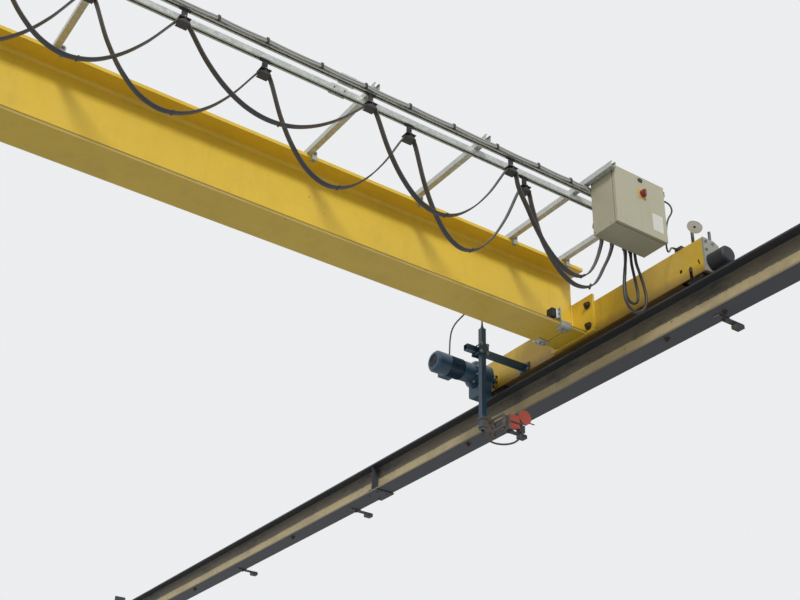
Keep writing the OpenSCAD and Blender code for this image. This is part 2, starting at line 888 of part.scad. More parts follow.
// Rollers inside the track and a stem through its slot, down to the face at clamp_z
module carrier_head() {
    roller_w = track_w - 2 * channel_t - 2;
    for (x = [-22, 22])
        translate([x, -roller_w / 2, track_z + track_h / 2])
            rotate([-90, 0, 0]) cylinder(d = roller_d, h = roller_w);
    stem_w = slot_w - 4;
    translate([-34, -stem_w / 2, track_z - 12]) cube([68, stem_w, track_h / 2 + 12]);
    translate([-17, -stem_w / 2, clamp_z - eps]) cube([34, stem_w, clamp_drop - 12 + 2 * eps]);
}

// Clamp plate over the flat cable, a curved saddle under it and a bolt on each side
module festoon_carrier() {
    bolt_y = flat_cable_w / 2 + 7;
    carrier_head();
    translate([-34, -saddle_w / 2, clamp_z - clamp_t]) cube([68, saddle_w, clamp_t]);
    for (y = [-bolt_y, bolt_y])
        translate([0, y, saddle_z + saddle_r / 2])
            cylinder(d = 8, h = clamp_z - saddle_z - saddle_r / 2 - 1);
    translate([0, saddle_w / 2, saddle_z])
        rotate([90, 0, 0])
            linear_extrude(saddle_w)
                intersection() {
                    circle(r = saddle_r);
                    translate([-saddle_r, saddle_r * cos(saddle_angle)]) square([2 * saddle_r, saddle_r]);
                }
}

// Junction box under a roller head, with the flat cable's gland underneath
module festoon_end_box() {
    carrier_head();
    translate([-end_box[0] / 2, -end_box[1] / 2, end_box_z]) cube(end_box);
    translate([-gland_d / 2, -saddle_w / 2 + 8, end_box_z - gland_h])
        cube([gland_d, saddle_w - 16, gland_h + eps]);
}

module festoon_carriers_inner() {
    color("#3a3d40")
        on_bridge()
            for (x = carrier_x_inner)
                translate([x, track_y[0], 0]) festoon_carrier();
}

module festoon_carriers_outer() {
    color("#3a3d40")
        on_bridge()
            for (x = carrier_x_outer)
                translate([x, track_y[1], 0]) festoon_carrier();
}

module festoon_end_boxes() {
    color("#3a3d40")
        on_bridge() {
            translate([end_box_x_inner, track_y[0], 0]) festoon_end_box();
            translate([end_box_x_outer, track_y[1], 0]) festoon_end_box();
        }
}

// Points over a saddle at x, from its wall side to its far side
function over_saddle(x, y) = [for (k = [2:-1:-2]) let (a = k * saddle_angle / 2)
    [x + cable_r * sin(a), y, saddle_z + cable_r * cos(a)]];

// Points that hang between x0 and x1, without the two ends; the lowest one leans towards the far side
function hanging(x0, x1, y, z, depth, n) = [for (i = [1:n - 1]) let (u = 2 * i / n - 1)
    [x0 + (x1 - x0) * i / n + loop_lean * (1 - u * u), y, z - depth * (1 - u * u)]];

// Moves a route's ends onto the points a and b and spreads the difference along it
function fitted(route, a, b) = let (n = len(route) - 1, da = a - route[0], db = b - route[n])
    [for (i = [0:n]) route[i] + da * (1 - i / n) + db * i / n];

// The cable's whole line: from the cabinet, over all saddles and up into the junction box
function festoon_points(xs, y, start, box_x, depths) = let (
    edge = cable_r * sin(saddle_angle),
    z = saddle_z + cable_r * cos(saddle_angle),
    z_box = end_box_z - gland_h,
    last = len(xs) - 1
) concat(
    fitted(start, [start[0][0], outlet_y, outlet_z], over_saddle(xs[0], y)[0] + [14, 0, -64]),
    [for (i = [0:last]) for (p = concat(
        over_saddle(xs[i], y),
        i < last ? hanging(xs[i] - edge, xs[i + 1] + edge, y, z, depths[i], 8) : []
    )) p],
    hanging(xs[last] - edge, box_x, y, z, depths[last], 8),
    [[box_x, y, z_box - 60], [box_x, y, z_box]]
);

// Sweeps a flat section along points; its width stays as near to Y as the line lets it
module flat_sweep(points, w, t) {
    n = len(points);
    section = [[-w / 2, -t / 4], [-w / 2, t / 4], [-w / 2 + t / 4, t / 2], [w / 2 - t / 4, t / 2],
        [w / 2, t / 4], [w / 2, -t / 4], [w / 2 - t / 4, -t / 2], [-w / 2 + t / 4, -t / 2]];
    m = len(section);
    rings = [for (i = [0:n - 1])
        let (
            a = points[max(i - 1, 0)],
            b = points[min(i + 1, n - 1)],
            d = (b - a) / norm(b - a),
            across = [0, 1, 0] - d[1] * d,
            side = across / norm(across),
            up = cross(d, side)
        )
        for (s = section) points[i] + side * s[0] + up * s[1]];
    polyhedron(rings, tube_faces(n, m), convexity = 10);
}

// Faces of a tube of n rings with m points each, closed at both ends
function tube_faces(n, m) = concat(
    [for (i = [0:n - 2], j = [0:m - 1]) let (k = (j + 1) % m)
        [i * m + k, i * m + j, (i + 1) * m + j, (i + 1) * m + k]],
    [[for (j = [0:m - 1]) j], [for (j = [m - 1:-1:0]) (n - 1) * m + j]]
);

module festoon_cable(xs, y, start, box_x, depths) {
    on_bridge() flat_sweep(festoon_points(xs, y, start, box_x, depths), flat_cable_w, flat_cable_t);
}

module festoon_cable_inner() {
    color("#3c3c3e")
        festoon_cable(carrier_x_inner, track_y[0], to_cabinet_inner, end_box_x_inner, loop_depth_inner);
}

module festoon_cable_outer() {
    color("#3c3c3e")
        festoon_cable(carrier_x_outer, track_y[1], to_cabinet_outer, end_box_x_outer, loop_depth_outer);
}

// Round cable along points; no part of it runs along ref
module round_sweep(points, d, ref) {
    n = len(points);
    m = 8;
    rings = [for (i = [0:n - 1])
        let (
            a = points[max(i - 1, 0)],
            b = points[min(i + 1, n - 1)],
            u = (b - a) / norm(b - a),
            side = cross(u, ref),
            e = side / norm(side),
            f = cross(u, e)
        )
        for (k = [0:m - 1]) points[i] + (e * cos(k * 360 / m) + f * sin(k * 360 / m)) * d / 2];
    polyhedron(rings, tube_faces(n, m), convexity = 10);
}

function outlet(x, y) = [x, y, outlet_z];

module cabinet_loop_cable_wide() {
    color("#3c3c3e")
        on_bridge()
            round_sweep(
                fitted(cabinet_loop_wide, outlet(loop_wide_x[0], outlet_y),
                    outlet(loop_wide_x[1], outlet_y)),
                loop_cable_d, [0, 1, 0]
            );
}

module cabinet_loop_cable_narrow() {
    color("#3c3c3e")
        on_bridge()
            round_sweep(
                fitted(cabinet_loop_narrow, outlet(loop_narrow_x[0], outlet_y_far),
                    outlet(loop_narrow_x[1], outlet_y_far)),
                loop_cable_d, [0, 1, 0]
            );
}

switch_gland = [switch_box_x - gland_h, switch_box_y + switch_box[1] / 2, carriage_z + carriage_h + 27];

module cabinet_side_cable() {
    color("#3c3c3e")
        on_bridge()
            round_sweep(fitted(cabinet_side_route, side_outlet, switch_gland), side_cable_d, [0, 1, 0]);
}

// One of the two fixed cables, from behind the cabinet along the outer track to its far end
module track_cable(i) {
    turn = [for (p = track_route[i]) p + [0, track_cable_y, 0]];
    x = turn[len(turn) - 1][0];
    y = track_cable_y;
    z = track_cable_z[i];
    straight = [[(x + track_cable_x0) / 2, y, z], [track_cable_x0, y, z]];
    color("#2b2c2e")
        on_bridge()
            round_sweep(
                concat(fitted(turn, [track_outlet_x[i], y, track_outlet_z], [x, y, z]), straight),
                track_cable_d, [0, 1, 0]
            );
}

module track_cable_lower() {
    track_cable(0);
}

module track_cable_upper() {
    track_cable(1);
}

terminal_gland = [
    terminal_x + terminal_box[0] - 12, wheel_y + terminal_y + terminal_box[1] / 2,
    wheel_z + terminal_box[2] / 2 + gland_h
];

function girder_gland(i) = [girder_gland_x[i], girder_box_y + girder_box[1] + gland_h, girder_gland_z];

module motor_cable() {
    color("#2b2c2e")
        on_bridge()
            round_sweep(
                fitted(motor_cable_route, terminal_gland, girder_gland(1)), motor_cable_d, [1, 0, 0]
            );
}

module collector_feed_cable() {
    color("#2b2c2e")
        on_bridge()
            round_sweep(
                fitted(feed_cable_route, [post_x, post_y, post_z1 + gland_h], girder_gland(0)),
                motor_cable_d, [1, 0, 0]
            );
}

module collector_cable() {
    color("#2b2c2e")
        on_bridge()
            round_sweep(
                fitted(collector_cable_route, [post_x + 203, collector_y, post_z0 - 34],
                    [post_x, post_y, post_z0 - 10]),
                collector_cable_d, [0.6, 0.8, 0]
            );
}

// Where the cables end: elbows behind the cabinet, glands and junction boxes
module cable_fittings() {
    color("#3a3d40")
        on_bridge() {
            for (x = flat_outlet_x)
                cabinet_elbow(x, outlet_y) translate([-gland_d / 2, -saddle_w / 2 + 8, 0])
                    cube([gland_d, saddle_w - 16, gland_h + eps]);
            for (x = loop_wide_x)
                cabinet_elbow(x, outlet_y) cylinder(d = gland_d + 8, h = gland_h + eps);
            for (x = loop_narrow_x)
                cabinet_elbow(x, outlet_y_far) cylinder(d = gland_d + 8, h = gland_h + eps);
            for (x = track_outlet_x)
                translate([x, 0, track_outlet_z - gland_h]) {
                    translate([-11, cabinet_y1, -22]) cube([22, track_cable_y + 9 - cabinet_y1, 22]);
                    translate([0, track_cable_y, -eps]) cylinder(d = gland_d, h = gland_h + eps);
                }
            translate([0, side_outlet[1], side_outlet[2]]) rod_x(gland_d, 15, cabinet_x1);
            translate([track_cable_x0 - gland_h, track_cable_y, 0]) track_end_box();
            translate([switch_box_x, switch_box_y, carriage_z + carriage_h]) cube(switch_box);
            translate([0, switch_gland[1], switch_gland[2]]) rod_x(gland_d, gland_h + eps, switch_gland[0]);
            translate([post_x, post_y, post_z1]) cylinder(d = gland_d, h = gland_h);
            translate([post_x, post_y, post_z0 - 10]) cylinder(d = gland_d, h = 10);
            drive_fittings();
        }
}

// Elbow on the cabinet's back wall with children as its gland, pointing down
module cabinet_elbow(x, y) {
    w = gland_d + 10;
    translate([x - w / 2, cabinet_y1, outlet_z + gland_h]) cube([w, y + w / 2 - cabinet_y1, w]);
    translate([x, y, outlet_z]) children();
}

// Box beside the far end of the outer track, with one gland block for both fixed cables
module track_end_box() {
    gland_z = (track_cable_z[0] + track_cable_z[1]) / 2;
    side = track_y[1] - track_w / 2 - rest_gap - track_cable_y;
    translate([-track_box[0], side - track_box[1], gland_z - track_box[2] / 2]) cube(track_box);
    translate([-eps, -gland_d / 2, gland_z - gland_h]) cube([gland_h + eps, gland_d, 2 * gland_h]);
}

// Gland on the motor's terminal box, and the junction box on the girder with its hook plate
module drive_fittings() {
    translate([terminal_gland[0], terminal_gland[1], terminal_gland[2] - gland_h])
        cylinder(d = gland_d, h = gland_h);
    translate([girder_box_x, girder_box_y, girder_box_z]) cube(girder_box);
    translate([girder_box_x + 10, girder_box_y - 60, girder_top + rest_gap])
        cube([girder_box[0] - 20, 100, 4]);
    for (i = [0, 1])
        translate([girder_gland_x[i], girder_gland(i)[1] - gland_h - eps, girder_gland_z])
            rotate([-90, 0, 0]) cylinder(d = gland_d, h = gland_h + eps);
}

// Control cabinet

// Sheet box, open on its door side, with an ear for the door's hinge at both ends of its floor
module cabinet_body() {
    inner = [cabinet_w - 2 * cabinet_wall, cabinet_h - 2 * cabinet_wall];
    color("#bcbba5")
        on_bridge() {
            difference() {
                translate([cabinet_x0, cabinet_front, cabinet_z0])
                    cube([cabinet_w, cabinet_y1 - cabinet_front, cabinet_h]);
                translate([cabinet_x0 + cabinet_wall, cabinet_y0, cabinet_z0 + cabinet_wall])
                    cube([inner[0], cabinet_d - cabinet_wall, inner[1]]);
            }
            cabinet_sides() hinge_ear();
        }
}

// Children at the cabinet's west side, and mirrored at its east side
module cabinet_sides() {
    for (side = [0, 1])
        translate([cabinet_x0 + side * cabinet_w, 0, 0]) mirror([side, 0, 0]) children();
}

module hinge_ear() {
    floor_z = cabinet_z0 + cabinet_wall;
    along_x(hinge_ear_t, cabinet_wall + hinge_ear_gap)
        difference() {
            union() {
                translate([hinge_y, hinge_z]) circle(r = hinge_ear_r);
                translate([hinge_y, hinge_z - hinge_ear_r])
                    square([cabinet_front + hinge_ear_root - hinge_y, 2 * hinge_ear_r]);
                translate([cabinet_front, floor_z - eps])
                    square([hinge_ear_root, hinge_z + hinge_ear_r - floor_z + eps]);
            }
            translate([hinge_y, hinge_z]) circle(r = hinge_pin_r + fit);
        }
}

module cabinet_mounting_plate() {
    margin = 25;
    color("#c8cdc8")
        on_bridge()
            translate([cabinet_x0 + margin, cabinet_y1 - cabinet_wall - 10, cabinet_z0 + margin])
                cube([cabinet_w - 2 * margin, 10, cabinet_h - 2 * margin]);
}

// Folded door that turns down on a pin in each side of its rim; slots in the rim clear the ears
module cabinet_door() {
    pin_len = hinge_ear_t + 2 * hinge_ear_gap;
    color("#bcbba5")
        on_bridge() {
            difference() {
                translate([cabinet_x0, cabinet_y0, cabinet_z0]) cube([cabinet_w, door_d, cabinet_h]);
                translate([cabinet_x0 + cabinet_wall, cabinet_y0 + cabinet_wall, cabinet_z0 + cabinet_wall])
                    cube([cabinet_w - 2 * cabinet_wall, door_d, cabinet_h - 2 * cabinet_wall]);
                translate([switch_x, cabinet_y0 - 1, switch_z])
                    rotate([-90, 0, 0]) cylinder(r = spindle_r + fit, h = 10);
                cabinet_sides()
                    translate([cabinet_wall, cabinet_y0 + cabinet_wall + 0.5, cabinet_z0 - 1])
                        cube([hinge_slot_w, door_d, cabinet_wall + 2]);
            }
            cabinet_sides()
                translate([0, hinge_y, hinge_z]) rod_x(2 * hinge_pin_r, pin_len + eps, cabinet_wall - eps);
        }
}

module switch_plate() {
    color("#d8b21f")
        on_bridge()
            translate([switch_x, cabinet_y0 - switch_plate_t, switch_z])
                difference() {
                    translate([-switch_plate_w / 2, 0, -switch_plate_w / 2])
                        cube([switch_plate_w, switch_plate_t, switch_plate_w]);
                    translate([0, -1, 0])
                        rotate([-90, 0, 0]) cylinder(r = spindle_r + 1, h = switch_plate_t + 2);
                }
}

// Round knob with a grip bar, on a spindle through the plate and the door
module switch_handle() {
    spindle_len = switch_plate_t + 9;
    color("#b8322c")
        on_bridge()
            translate([switch_x, cabinet_y0 - switch_plate_t - rest_gap, switch_z])
                rotate([90, 0, 0]) {
                    cylinder(d = knob_d, h = knob_t);
                    translate([-grip_w / 2, -knob_d / 2 + 2, knob_t - eps])
                        cube([grip_w, knob_d - 4, grip_h]);
                    translate([0, 0, -spindle_len]) cylinder(r = spindle_r, h = spindle_len + eps);
                }
}

// Current collector

// Square tube out from the end carriage, with a bolted pair of plates that clamps the post beside it
module collector_bracket() {
    half = bracket_size / 2;
    bore = bracket_size - 2 * bracket_wall;
    x1 = -carriage_w / 2 - bracket_plate[0];
    color("#2d556e")
        on_bridge() {
            translate([0, bracket_y, bracket_z])
                difference() {
                    translate([bracket_x0, -half, -half])
                        cube([x1 - bracket_x0 + eps, bracket_size, bracket_size]);
                    translate([bracket_x0 - 1, -bore / 2, -bore / 2])
                        cube([x1 - bracket_x0 - 4, bore, bore]);
                }
            translate([x1, bracket_y - bracket_plate[1] / 2, bracket_z - bracket_plate[2] / 2])
                cube(bracket_plate);
            collector_clamp();
        }
}

module collector_clamp() {
    plate = [84, 6, 88];
    y0 = post_y - post_size / 2 - rest_gap - plate[1];
    y1 = bracket_y + bracket_size / 2 + rest_gap;
    for (y = [y0, y1])
        translate([post_x - plate[0] / 2, y, bracket_z - plate[2] / 2]) cube(plate);
    for (x = [-30, 30], z = [-32, 32])
        translate([post_x + x, y0 - 12, bracket_z + z])
            rotate([-90, 0, 0]) cylinder(d = 10, h = y1 - y0 + 30);
}

module collector_post() {
    color("#2d556e")
        on_bridge()
            translate([post_x - post_size / 2, post_y - post_size / 2, post_z0])
                cube([post_size, post_size, post_z1 - post_z0]);
}

// Places children relative to the foot of the post, in the plane of the collector's head
module at_collector() {
    on_bridge() translate([post_x, collector_y, post_z0]) children();
}

// Base plate and bands on the post, four bars out to the head, and two rods across the bars' ends
module collector_arms() {
    y1 = post_y - post_size / 2 - rest_gap - collector_y;
    plate_t = 6;
    color("#6f7474")
        at_collector() {
            translate([0, y1, 0])
                rotate([90, 0, 0])
                    linear_extrude(plate_t)
                        polygon([
                            [-20, 0], [-20, 104], [50, 104], [104, 72], [104, -22], [51, -71], [16, -12]
                        ]);
            for (z = [27, 90])
                translate([0, y1, z]) collector_band();
            for (x = collector_arm_x, z = collector_arm_z)
                translate([x - 6, -34, z - 6]) cube([12, y1 - plate_t + 34 + eps, 12]);
            for (x = collector_arm_x)
                translate([x - 6, -34, collector_arm_z[1]])
                    cube([12, 14, collector_arm_z[0] - collector_arm_z[1]]);
            translate([0, 0, spindle_z]) rod_x(2 * collector_spindle_r, 336 - 31, 31);
            translate([0, -27, 36]) rod_x(8, 212, 25);
        }
}

module collector_band() {
    r = post_size / 2 + rest_gap;
    w = 5;
    translate([-r - w, -6 - w, -7]) cube([w, 2 * r + 6 + 2 * w, 14]);
    translate([r, -6 - w, -7]) cube([w, 2 * r + 6 + 2 * w, 14]);
    translate([-r - w, 2 * r, -7]) cube([2 * (r + w), w, 14]);
    translate([-r - w, -6 - w, -7]) cube([2 * (r + w), w, 14]);
}

// Moulded block on the spindle and a disc beside it
module collector_head() {
    bore = 2 * (collector_spindle_r + rest_gap);
    color("#a54b3c")
        at_collector()
            difference() {
                union() {
                    translate([103, -20, -2]) cube([82, 40, 94]);
                    translate([239.5, -5, 102]) rotate([90, 0, 0]) cylinder(r = 54, h = 14);
                    translate([225, -5 - eps, 63]) cube([28, 17, 28]);
                }
                translate([0, 0, spindle_z]) rod_x(bore, 400, 0);
            }
}

module collector_terminal() {
    color("#26282a")
        at_collector() {
            translate([185 + rest_gap, -20, -22]) cube([48, 40, 54]);
            translate([203, 0, -34]) cylinder(d = gland_d, h = 12 + eps);
        }
}

runway_beam_wall();
runway_beam_far();
rail_wall();
rail_far();
runway_stops();
runway_brackets();
bridge_girder();
head_plates();
end_carriage_wall();
end_carriage_far();
buffer_plates();
buffers();
trolley_stop_brackets();
trolley_stop_rubbers();
wheel_wall_south();
wheel_wall_north();
wheel_far_south();
wheel_far_north();
drive_gearboxes();
drive_motors();
signal_stalk();
signal_disc();
festoon_arms();
festoon_track_inner();
festoon_track_outer();
festoon_carriers_inner();
festoon_carriers_outer();
festoon_end_boxes();
festoon_cable_inner();
festoon_cable_outer();
track_cable_lower();
track_cable_upper();
cabinet_body();
cabinet_mounting_plate();
cabinet_door();
switch_plate();
switch_handle();
cable_fittings();
cabinet_loop_cable_wide();
cabinet_loop_cable_narrow();
cabinet_side_cable();
motor_cable();
collector_bracket();
collector_post();
collector_arms();
collector_head();
collector_terminal();
collector_feed_cable();
collector_cable();
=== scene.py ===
# %% [markdown]
# # Dressing an overhead bridge crane
#
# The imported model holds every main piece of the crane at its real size: runways, girder, end
# carriages, drives, festoon, cabinet and collector. This lesson adds what such a model leaves
# out: cables that hang, bolt heads, welds, clips, paint, dust and wear.
# Everything is in metres. +X runs along the girder to the wall side, +Y along the runways, +Z up.

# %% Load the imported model
import math
from itertools import accumulate, product

import bmesh
import bpy
from mathutils import Matrix, Vector


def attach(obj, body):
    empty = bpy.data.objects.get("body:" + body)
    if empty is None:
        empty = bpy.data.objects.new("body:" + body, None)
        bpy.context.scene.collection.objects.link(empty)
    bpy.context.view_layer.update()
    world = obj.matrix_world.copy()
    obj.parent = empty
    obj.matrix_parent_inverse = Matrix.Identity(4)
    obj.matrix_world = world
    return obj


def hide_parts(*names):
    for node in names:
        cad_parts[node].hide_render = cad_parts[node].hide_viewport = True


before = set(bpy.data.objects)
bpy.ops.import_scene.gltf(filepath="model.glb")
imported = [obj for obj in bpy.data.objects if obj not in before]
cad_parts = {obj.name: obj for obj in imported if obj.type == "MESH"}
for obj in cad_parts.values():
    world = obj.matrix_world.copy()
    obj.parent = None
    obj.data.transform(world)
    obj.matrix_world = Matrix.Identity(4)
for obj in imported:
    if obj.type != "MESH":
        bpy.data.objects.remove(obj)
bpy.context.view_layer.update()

# %% [markdown]
# ## The camera
#
# The photograph looks up from below at the crane's wall end. Its three vanishing points give
# the camera's turn and lens, and the girder's known height gives its distance. The camera is
# set from its own three directions, because three angles would be harder to check.

# %% Stand where the photograph was taken
LENS_MM, SENSOR_MM = 54.23, 36
EYE = (-5.329, -8.400, -3.857)
SIGHT_END = 300


def in_scene(name, data):
    """Puts a new object into the scene."""
    thing = bpy.data.objects.new(name, data)
    bpy.context.scene.collection.objects.link(thing)
    return thing


camera = in_scene("crane_camera", bpy.data.cameras.new("crane_camera"))
camera.data.sensor_width, camera.data.lens = SENSOR_MM, LENS_MM
camera.data.clip_end = SIGHT_END
right = Vector((0.82752897, -0.56067094, 0.02905))
up = Vector((-0.30483298, -0.40526538, 0.86187982))
forward = right.cross(up) * -1
turn = Matrix((right, up, -forward)).transposed().to_4x4()
camera.matrix_world = Matrix.Translation(EYE) @ turn
bpy.context.scene.camera = camera
print("camera looks along", tuple(round(v, 3) for v in forward))

# %% [markdown]
# ## The cables' routes
#
# A cable has a fixed length and hangs under its own weight, so its route is settled before its
# looks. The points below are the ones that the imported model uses, in millimetres from the bridge.
# Each route leaves its gland straight, bends no tighter than the cable allows, and ends straight
# in the next gland.

# %% Route points, measured from the bridge
BRIDGE_Y = -2.790  # the bridge's zero, in metres
ROUTES = {
    "to_cabinet_inner": [
        (-560, -826, 535), (-560, -826, 495), (-575, -824, 440), (-600, -820, 375),
        (-635, -812, 300), (-672, -800, 215), (-712, -788, 155), (-770, -770, 125),
        (-840, -752, 130), (-920, -735, 185), (-1000, -720, 290), (-1065, -708, 420),
        (-1108, -703, 560), (-1135, -702, 660)],
    "to_cabinet_outer": [
        (-650, -826, 535), (-650, -826, 495), (-665, -826, 440), (-690, -825, 365),
        (-730, -824, 275), (-785, -822, 195), (-855, -820, 150), (-940, -818, 150),
        (-1030, -816, 195), (-1120, -814, 280), (-1200, -813, 395), (-1265, -812, 520),
        (-1310, -812, 600), (-1335, -812, 660)],
    "cabinet_loop_cable_wide": [
        (-440, -826, 535), (-440, -826, 490), (-445, -826, 430), (-455, -826, 370),
        (-468, -826, 290), (-478, -826, 200), (-470, -826, 110), (-440, -826, 65),
        (-390, -826, 50), (-330, -826, 75), (-292, -826, 130), (-283, -826, 200),
        (-300, -826, 290), (-330, -826, 380), (-348, -826, 430), (-355, -826, 490),
        (-355, -826, 535)],
    "cabinet_loop_cable_narrow": [
        (-410, -790, 535), (-410, -790, 490), (-413, -790, 440), (-420, -790, 370),
        (-432, -790, 280), (-430, -790, 200), (-410, -790, 150), (-370, -790, 135),
        (-335, -790, 160), (-320, -790, 220), (-330, -790, 300), (-345, -790, 380),
        (-355, -790, 440), (-358, -790, 490), (-358, -790, 535)],
    "cabinet_side_cable": [
        (-285, -1010, 870), (-272, -1010, 870), (-252, -1022, 867), (-230, -1038, 852),
        (-215, -1050, 825), (-212, -1056, 790), (-226, -1058, 752), (-250, -1056, 712),
        (-266, -1050, 660), (-274, -1044, 590), (-274, -1036, 530), (-262, -1024, 492),
        (-236, -1006, 482), (-200, -985, 502), (-155, -958, 550), (-118, -938, 588),
        (-85, -930, 600), (-66, -930, 600)],
    "motor_cable": [
        (-446, 1136.5, 451.3), (-446, 1136.5, 520), (-446, 1135, 600), (-447, 1128, 680),
        (-455, 1100, 735), (-465, 1060, 756), (-473, 1013, 770), (-475, 944, 786),
        (-478, 860, 800), (-483, 720, 818), (-487, 580, 834), (-490, 450, 848),
        (-492, 385, 858), (-492, 336.3, 858)],
    "collector_feed_cable": [
        (-515, 629.2, 543), (-515, 629.2, 600), (-516, 622, 660), (-518, 600, 715),
        (-521, 560, 765), (-524, 505, 805), (-526, 440, 840), (-528, 385, 858),
        (-528, 336.3, 858)],
    "collector_cable": [
        (-312, 460.2, -333), (-312, 460.2, -350), (-322, 473, -374), (-345, 498, -394),
        (-382, 528, -404), (-420, 555, -404), (-458, 585, -392), (-490, 608, -370),
        (-508, 624, -346), (-515, 629.2, -324), (-515, 629.2, -309)],
}
print("routes with given points:", len(ROUTES))

# %% [markdown]
# The flat cables run on over the carriers' saddles. A saddle is part of a circle, and between two
# saddles the cable hangs in a loop, whose depth was read off the photograph. So these two routes
# are worked out from the carriers' places, and only their first stretch is given.

# %% The flat cables, over saddles and through loops
SADDLE_R, SADDLE_TURN, HALF_FACET = 38, math.radians(66), math.radians(16.5)
CABLE_LIFT = 4.8  # from the saddle to the cable's middle
CABLE_R = SADDLE_R / math.cos(HALF_FACET) + CABLE_LIFT
SADDLE_Z = 763 - 6 - CABLE_LIFT - CABLE_R
LEAN = 40  # how far a loop's lowest point leans towards the far side
LEAD_X, LEAD_Z = 14, -64  # from a saddle's first point back to the given stretch's end
BOX_Z = (627, 687)  # the last points, straight up into a junction box
INNER_Y, OUTER_Y = -702, -812
INNER = [-1190, -2100, -3110, -4170, -5160, -6160]
OUTER = [-1390, -2455, -3670, -4760, -5860]


def fitted(route, end):
    """The route with its last point moved onto end, and the difference spread along it."""
    last = len(route) - 1
    gap = [e - p for e, p in zip(end, route[-1])]
    return [tuple(p + g * i / last for p, g in zip(point, gap)) for i, point in enumerate(route)]


def over_saddle(x, y):
    """Points over a carrier's saddle, from its wall side to its far side."""
    turns = [SADDLE_TURN * k / 2 for k in (2, 1, 0, -1, -2)]
    return [(x + CABLE_R * math.sin(a), y, SADDLE_Z + CABLE_R * math.cos(a)) for a in turns]


def hanging(x0, x1, y, z, depth):
    """Points of a loop between two supports."""
    points = []
    for i in range(1, 8):
        u = i / 4 - 1
        points.append((x0 + (x1 - x0) * i / 8 - LEAN * (1 - u * u), y, z - depth * (1 - u * u)))
    return points


def festoon_route(start, carriers, y, depths, box_x):
    """A flat cable's whole line, from the cabinet over all its saddles to its junction box."""
    edge, z = CABLE_R * math.sin(SADDLE_TURN), SADDLE_Z + CABLE_R * math.cos(SADDLE_TURN)
    first = over_saddle(carriers[0], y)[0]
    line = fitted(start, (first[0] + LEAD_X, y, first[2] + LEAD_Z))
    for i, x in enumerate(carriers):
        line += over_saddle(x, y)
        if i + 1 < len(carriers):
            line += hanging(x - edge, carriers[i + 1] + edge, y, z, depths[i])
    line += hanging(carriers[-1] - edge, box_x, y, z, depths[-1])
    return line + [(box_x, y, height) for height in BOX_Z]


ROUTES["festoon_cable_inner"] = festoon_route(
    ROUTES.pop("to_cabinet_inner"), INNER, INNER_Y, [630, 570, 520, 560, 560, 560], -7060)
ROUTES["festoon_cable_outer"] = festoon_route(
    ROUTES.pop("to_cabinet_outer"), OUTER, OUTER_Y, [540, 390, 520, 540, 540], -6960)
print({name: len(points) for name, points in ROUTES.items()})

# %% [markdown]
# The two fixed cables run along the outer track and hang from a clip about every third of a
# metre. Between two clips a cable sags a few millimetres, which the eye reads at once as a cable
# and not as a pipe. The sag is one dip for each pair of clips.

# %% Fixed cables and where their clips sit
CLIP_X = [-908, -1180, -1519, -1857, -2188, -2505, -2810, -3171, -3481]
CLIP_X += [-3481 - 350 * i for i in range(1, 22)]
FIXED_Y, FIXED_END_X = -841.5, -11380


def along_track(bend, z, sag):
    """The route from behind the cabinet, then a shallow dip between every two clips."""
    line = [(x, FIXED_Y, height) for x, height in bend]
    stops = [line[-1][0]] + CLIP_X + [FIXED_END_X]
    for a, b in zip(stops, stops[1:]):
        line += [(a + (b - a) * u, FIXED_Y, z - sag * 4 * u * (1 - u))
                 for u in (0.25, 0.5, 0.75, 1)]
    return line


ROUTES["track_cable_lower"] = along_track(
    [(-720, 594), (-720, 700), (-721, 780), (-730, 820), (-752, 843), (-785, 850)], 850, 6)
ROUTES["track_cable_upper"] = along_track(
    [(-690, 594), (-690, 700), (-690, 780), (-693, 825), (-708, 852), (-740, 864), (-790, 865)],
    865, 4)
print("clips:", len(CLIP_X), "last at", CLIP_X[-1])

# %% [markdown]
# ## Node helpers
#
# Materials and Geometry Nodes trees are both made of nodes and links, and a formula written with
# bare links is hard to read. Two small classes help with either kind of tree. A Node fills its
# inputs from a plain list of names. A Signal is what comes out of one, and a sum or product of
# signals adds the Math nodes by itself, so a mask reads like the formula that it is.

# %% Nodes and signals
class Signal:
    """An output of a node. Arithmetic on signals adds Math nodes to their tree."""

    def __init__(self, socket):
        self.socket, self.tree = socket, socket.id_data

    def __add__(self, other):
        return calc("ADD", self, other)

    def __sub__(self, other):
        return calc("SUBTRACT", self, other)

    def __rsub__(self, other):
        return calc("SUBTRACT", other, self)

    def __mul__(self, other):
        return calc("MULTIPLY", self, other)


class Node:
    """A node in a tree: node["Mask"] or node[0] is the signal of one of its outputs."""

    def __init__(self, node):
        self.node = node

    def __getitem__(self, output):
        return Signal(self.node.outputs[output])

    def feed(self, inputs):
        """Fills inputs, each with a plain value or with the signal that it is linked to."""
        for name, value in inputs.items():
            if isinstance(value, Signal):
                value.tree.links.new(value.socket, self.node.inputs[name])
            else:
                self.node.inputs[name].default_value = value
        return self


def add(tree, kind, inputs=None, **options):
    """Adds a node of a kind, sets its options and fills its inputs."""
    node = tree.nodes.new(kind)
    for name, value in options.items():
        setattr(node, name, value)
    return Node(node).feed(inputs or {})


def calc(operation, *values):
    """A Math node on signals and plain numbers."""
    tree = next(value.tree for value in values if isinstance(value, Signal))
    return add(tree, "ShaderNodeMath", dict(enumerate(values)), operation=operation)[0]


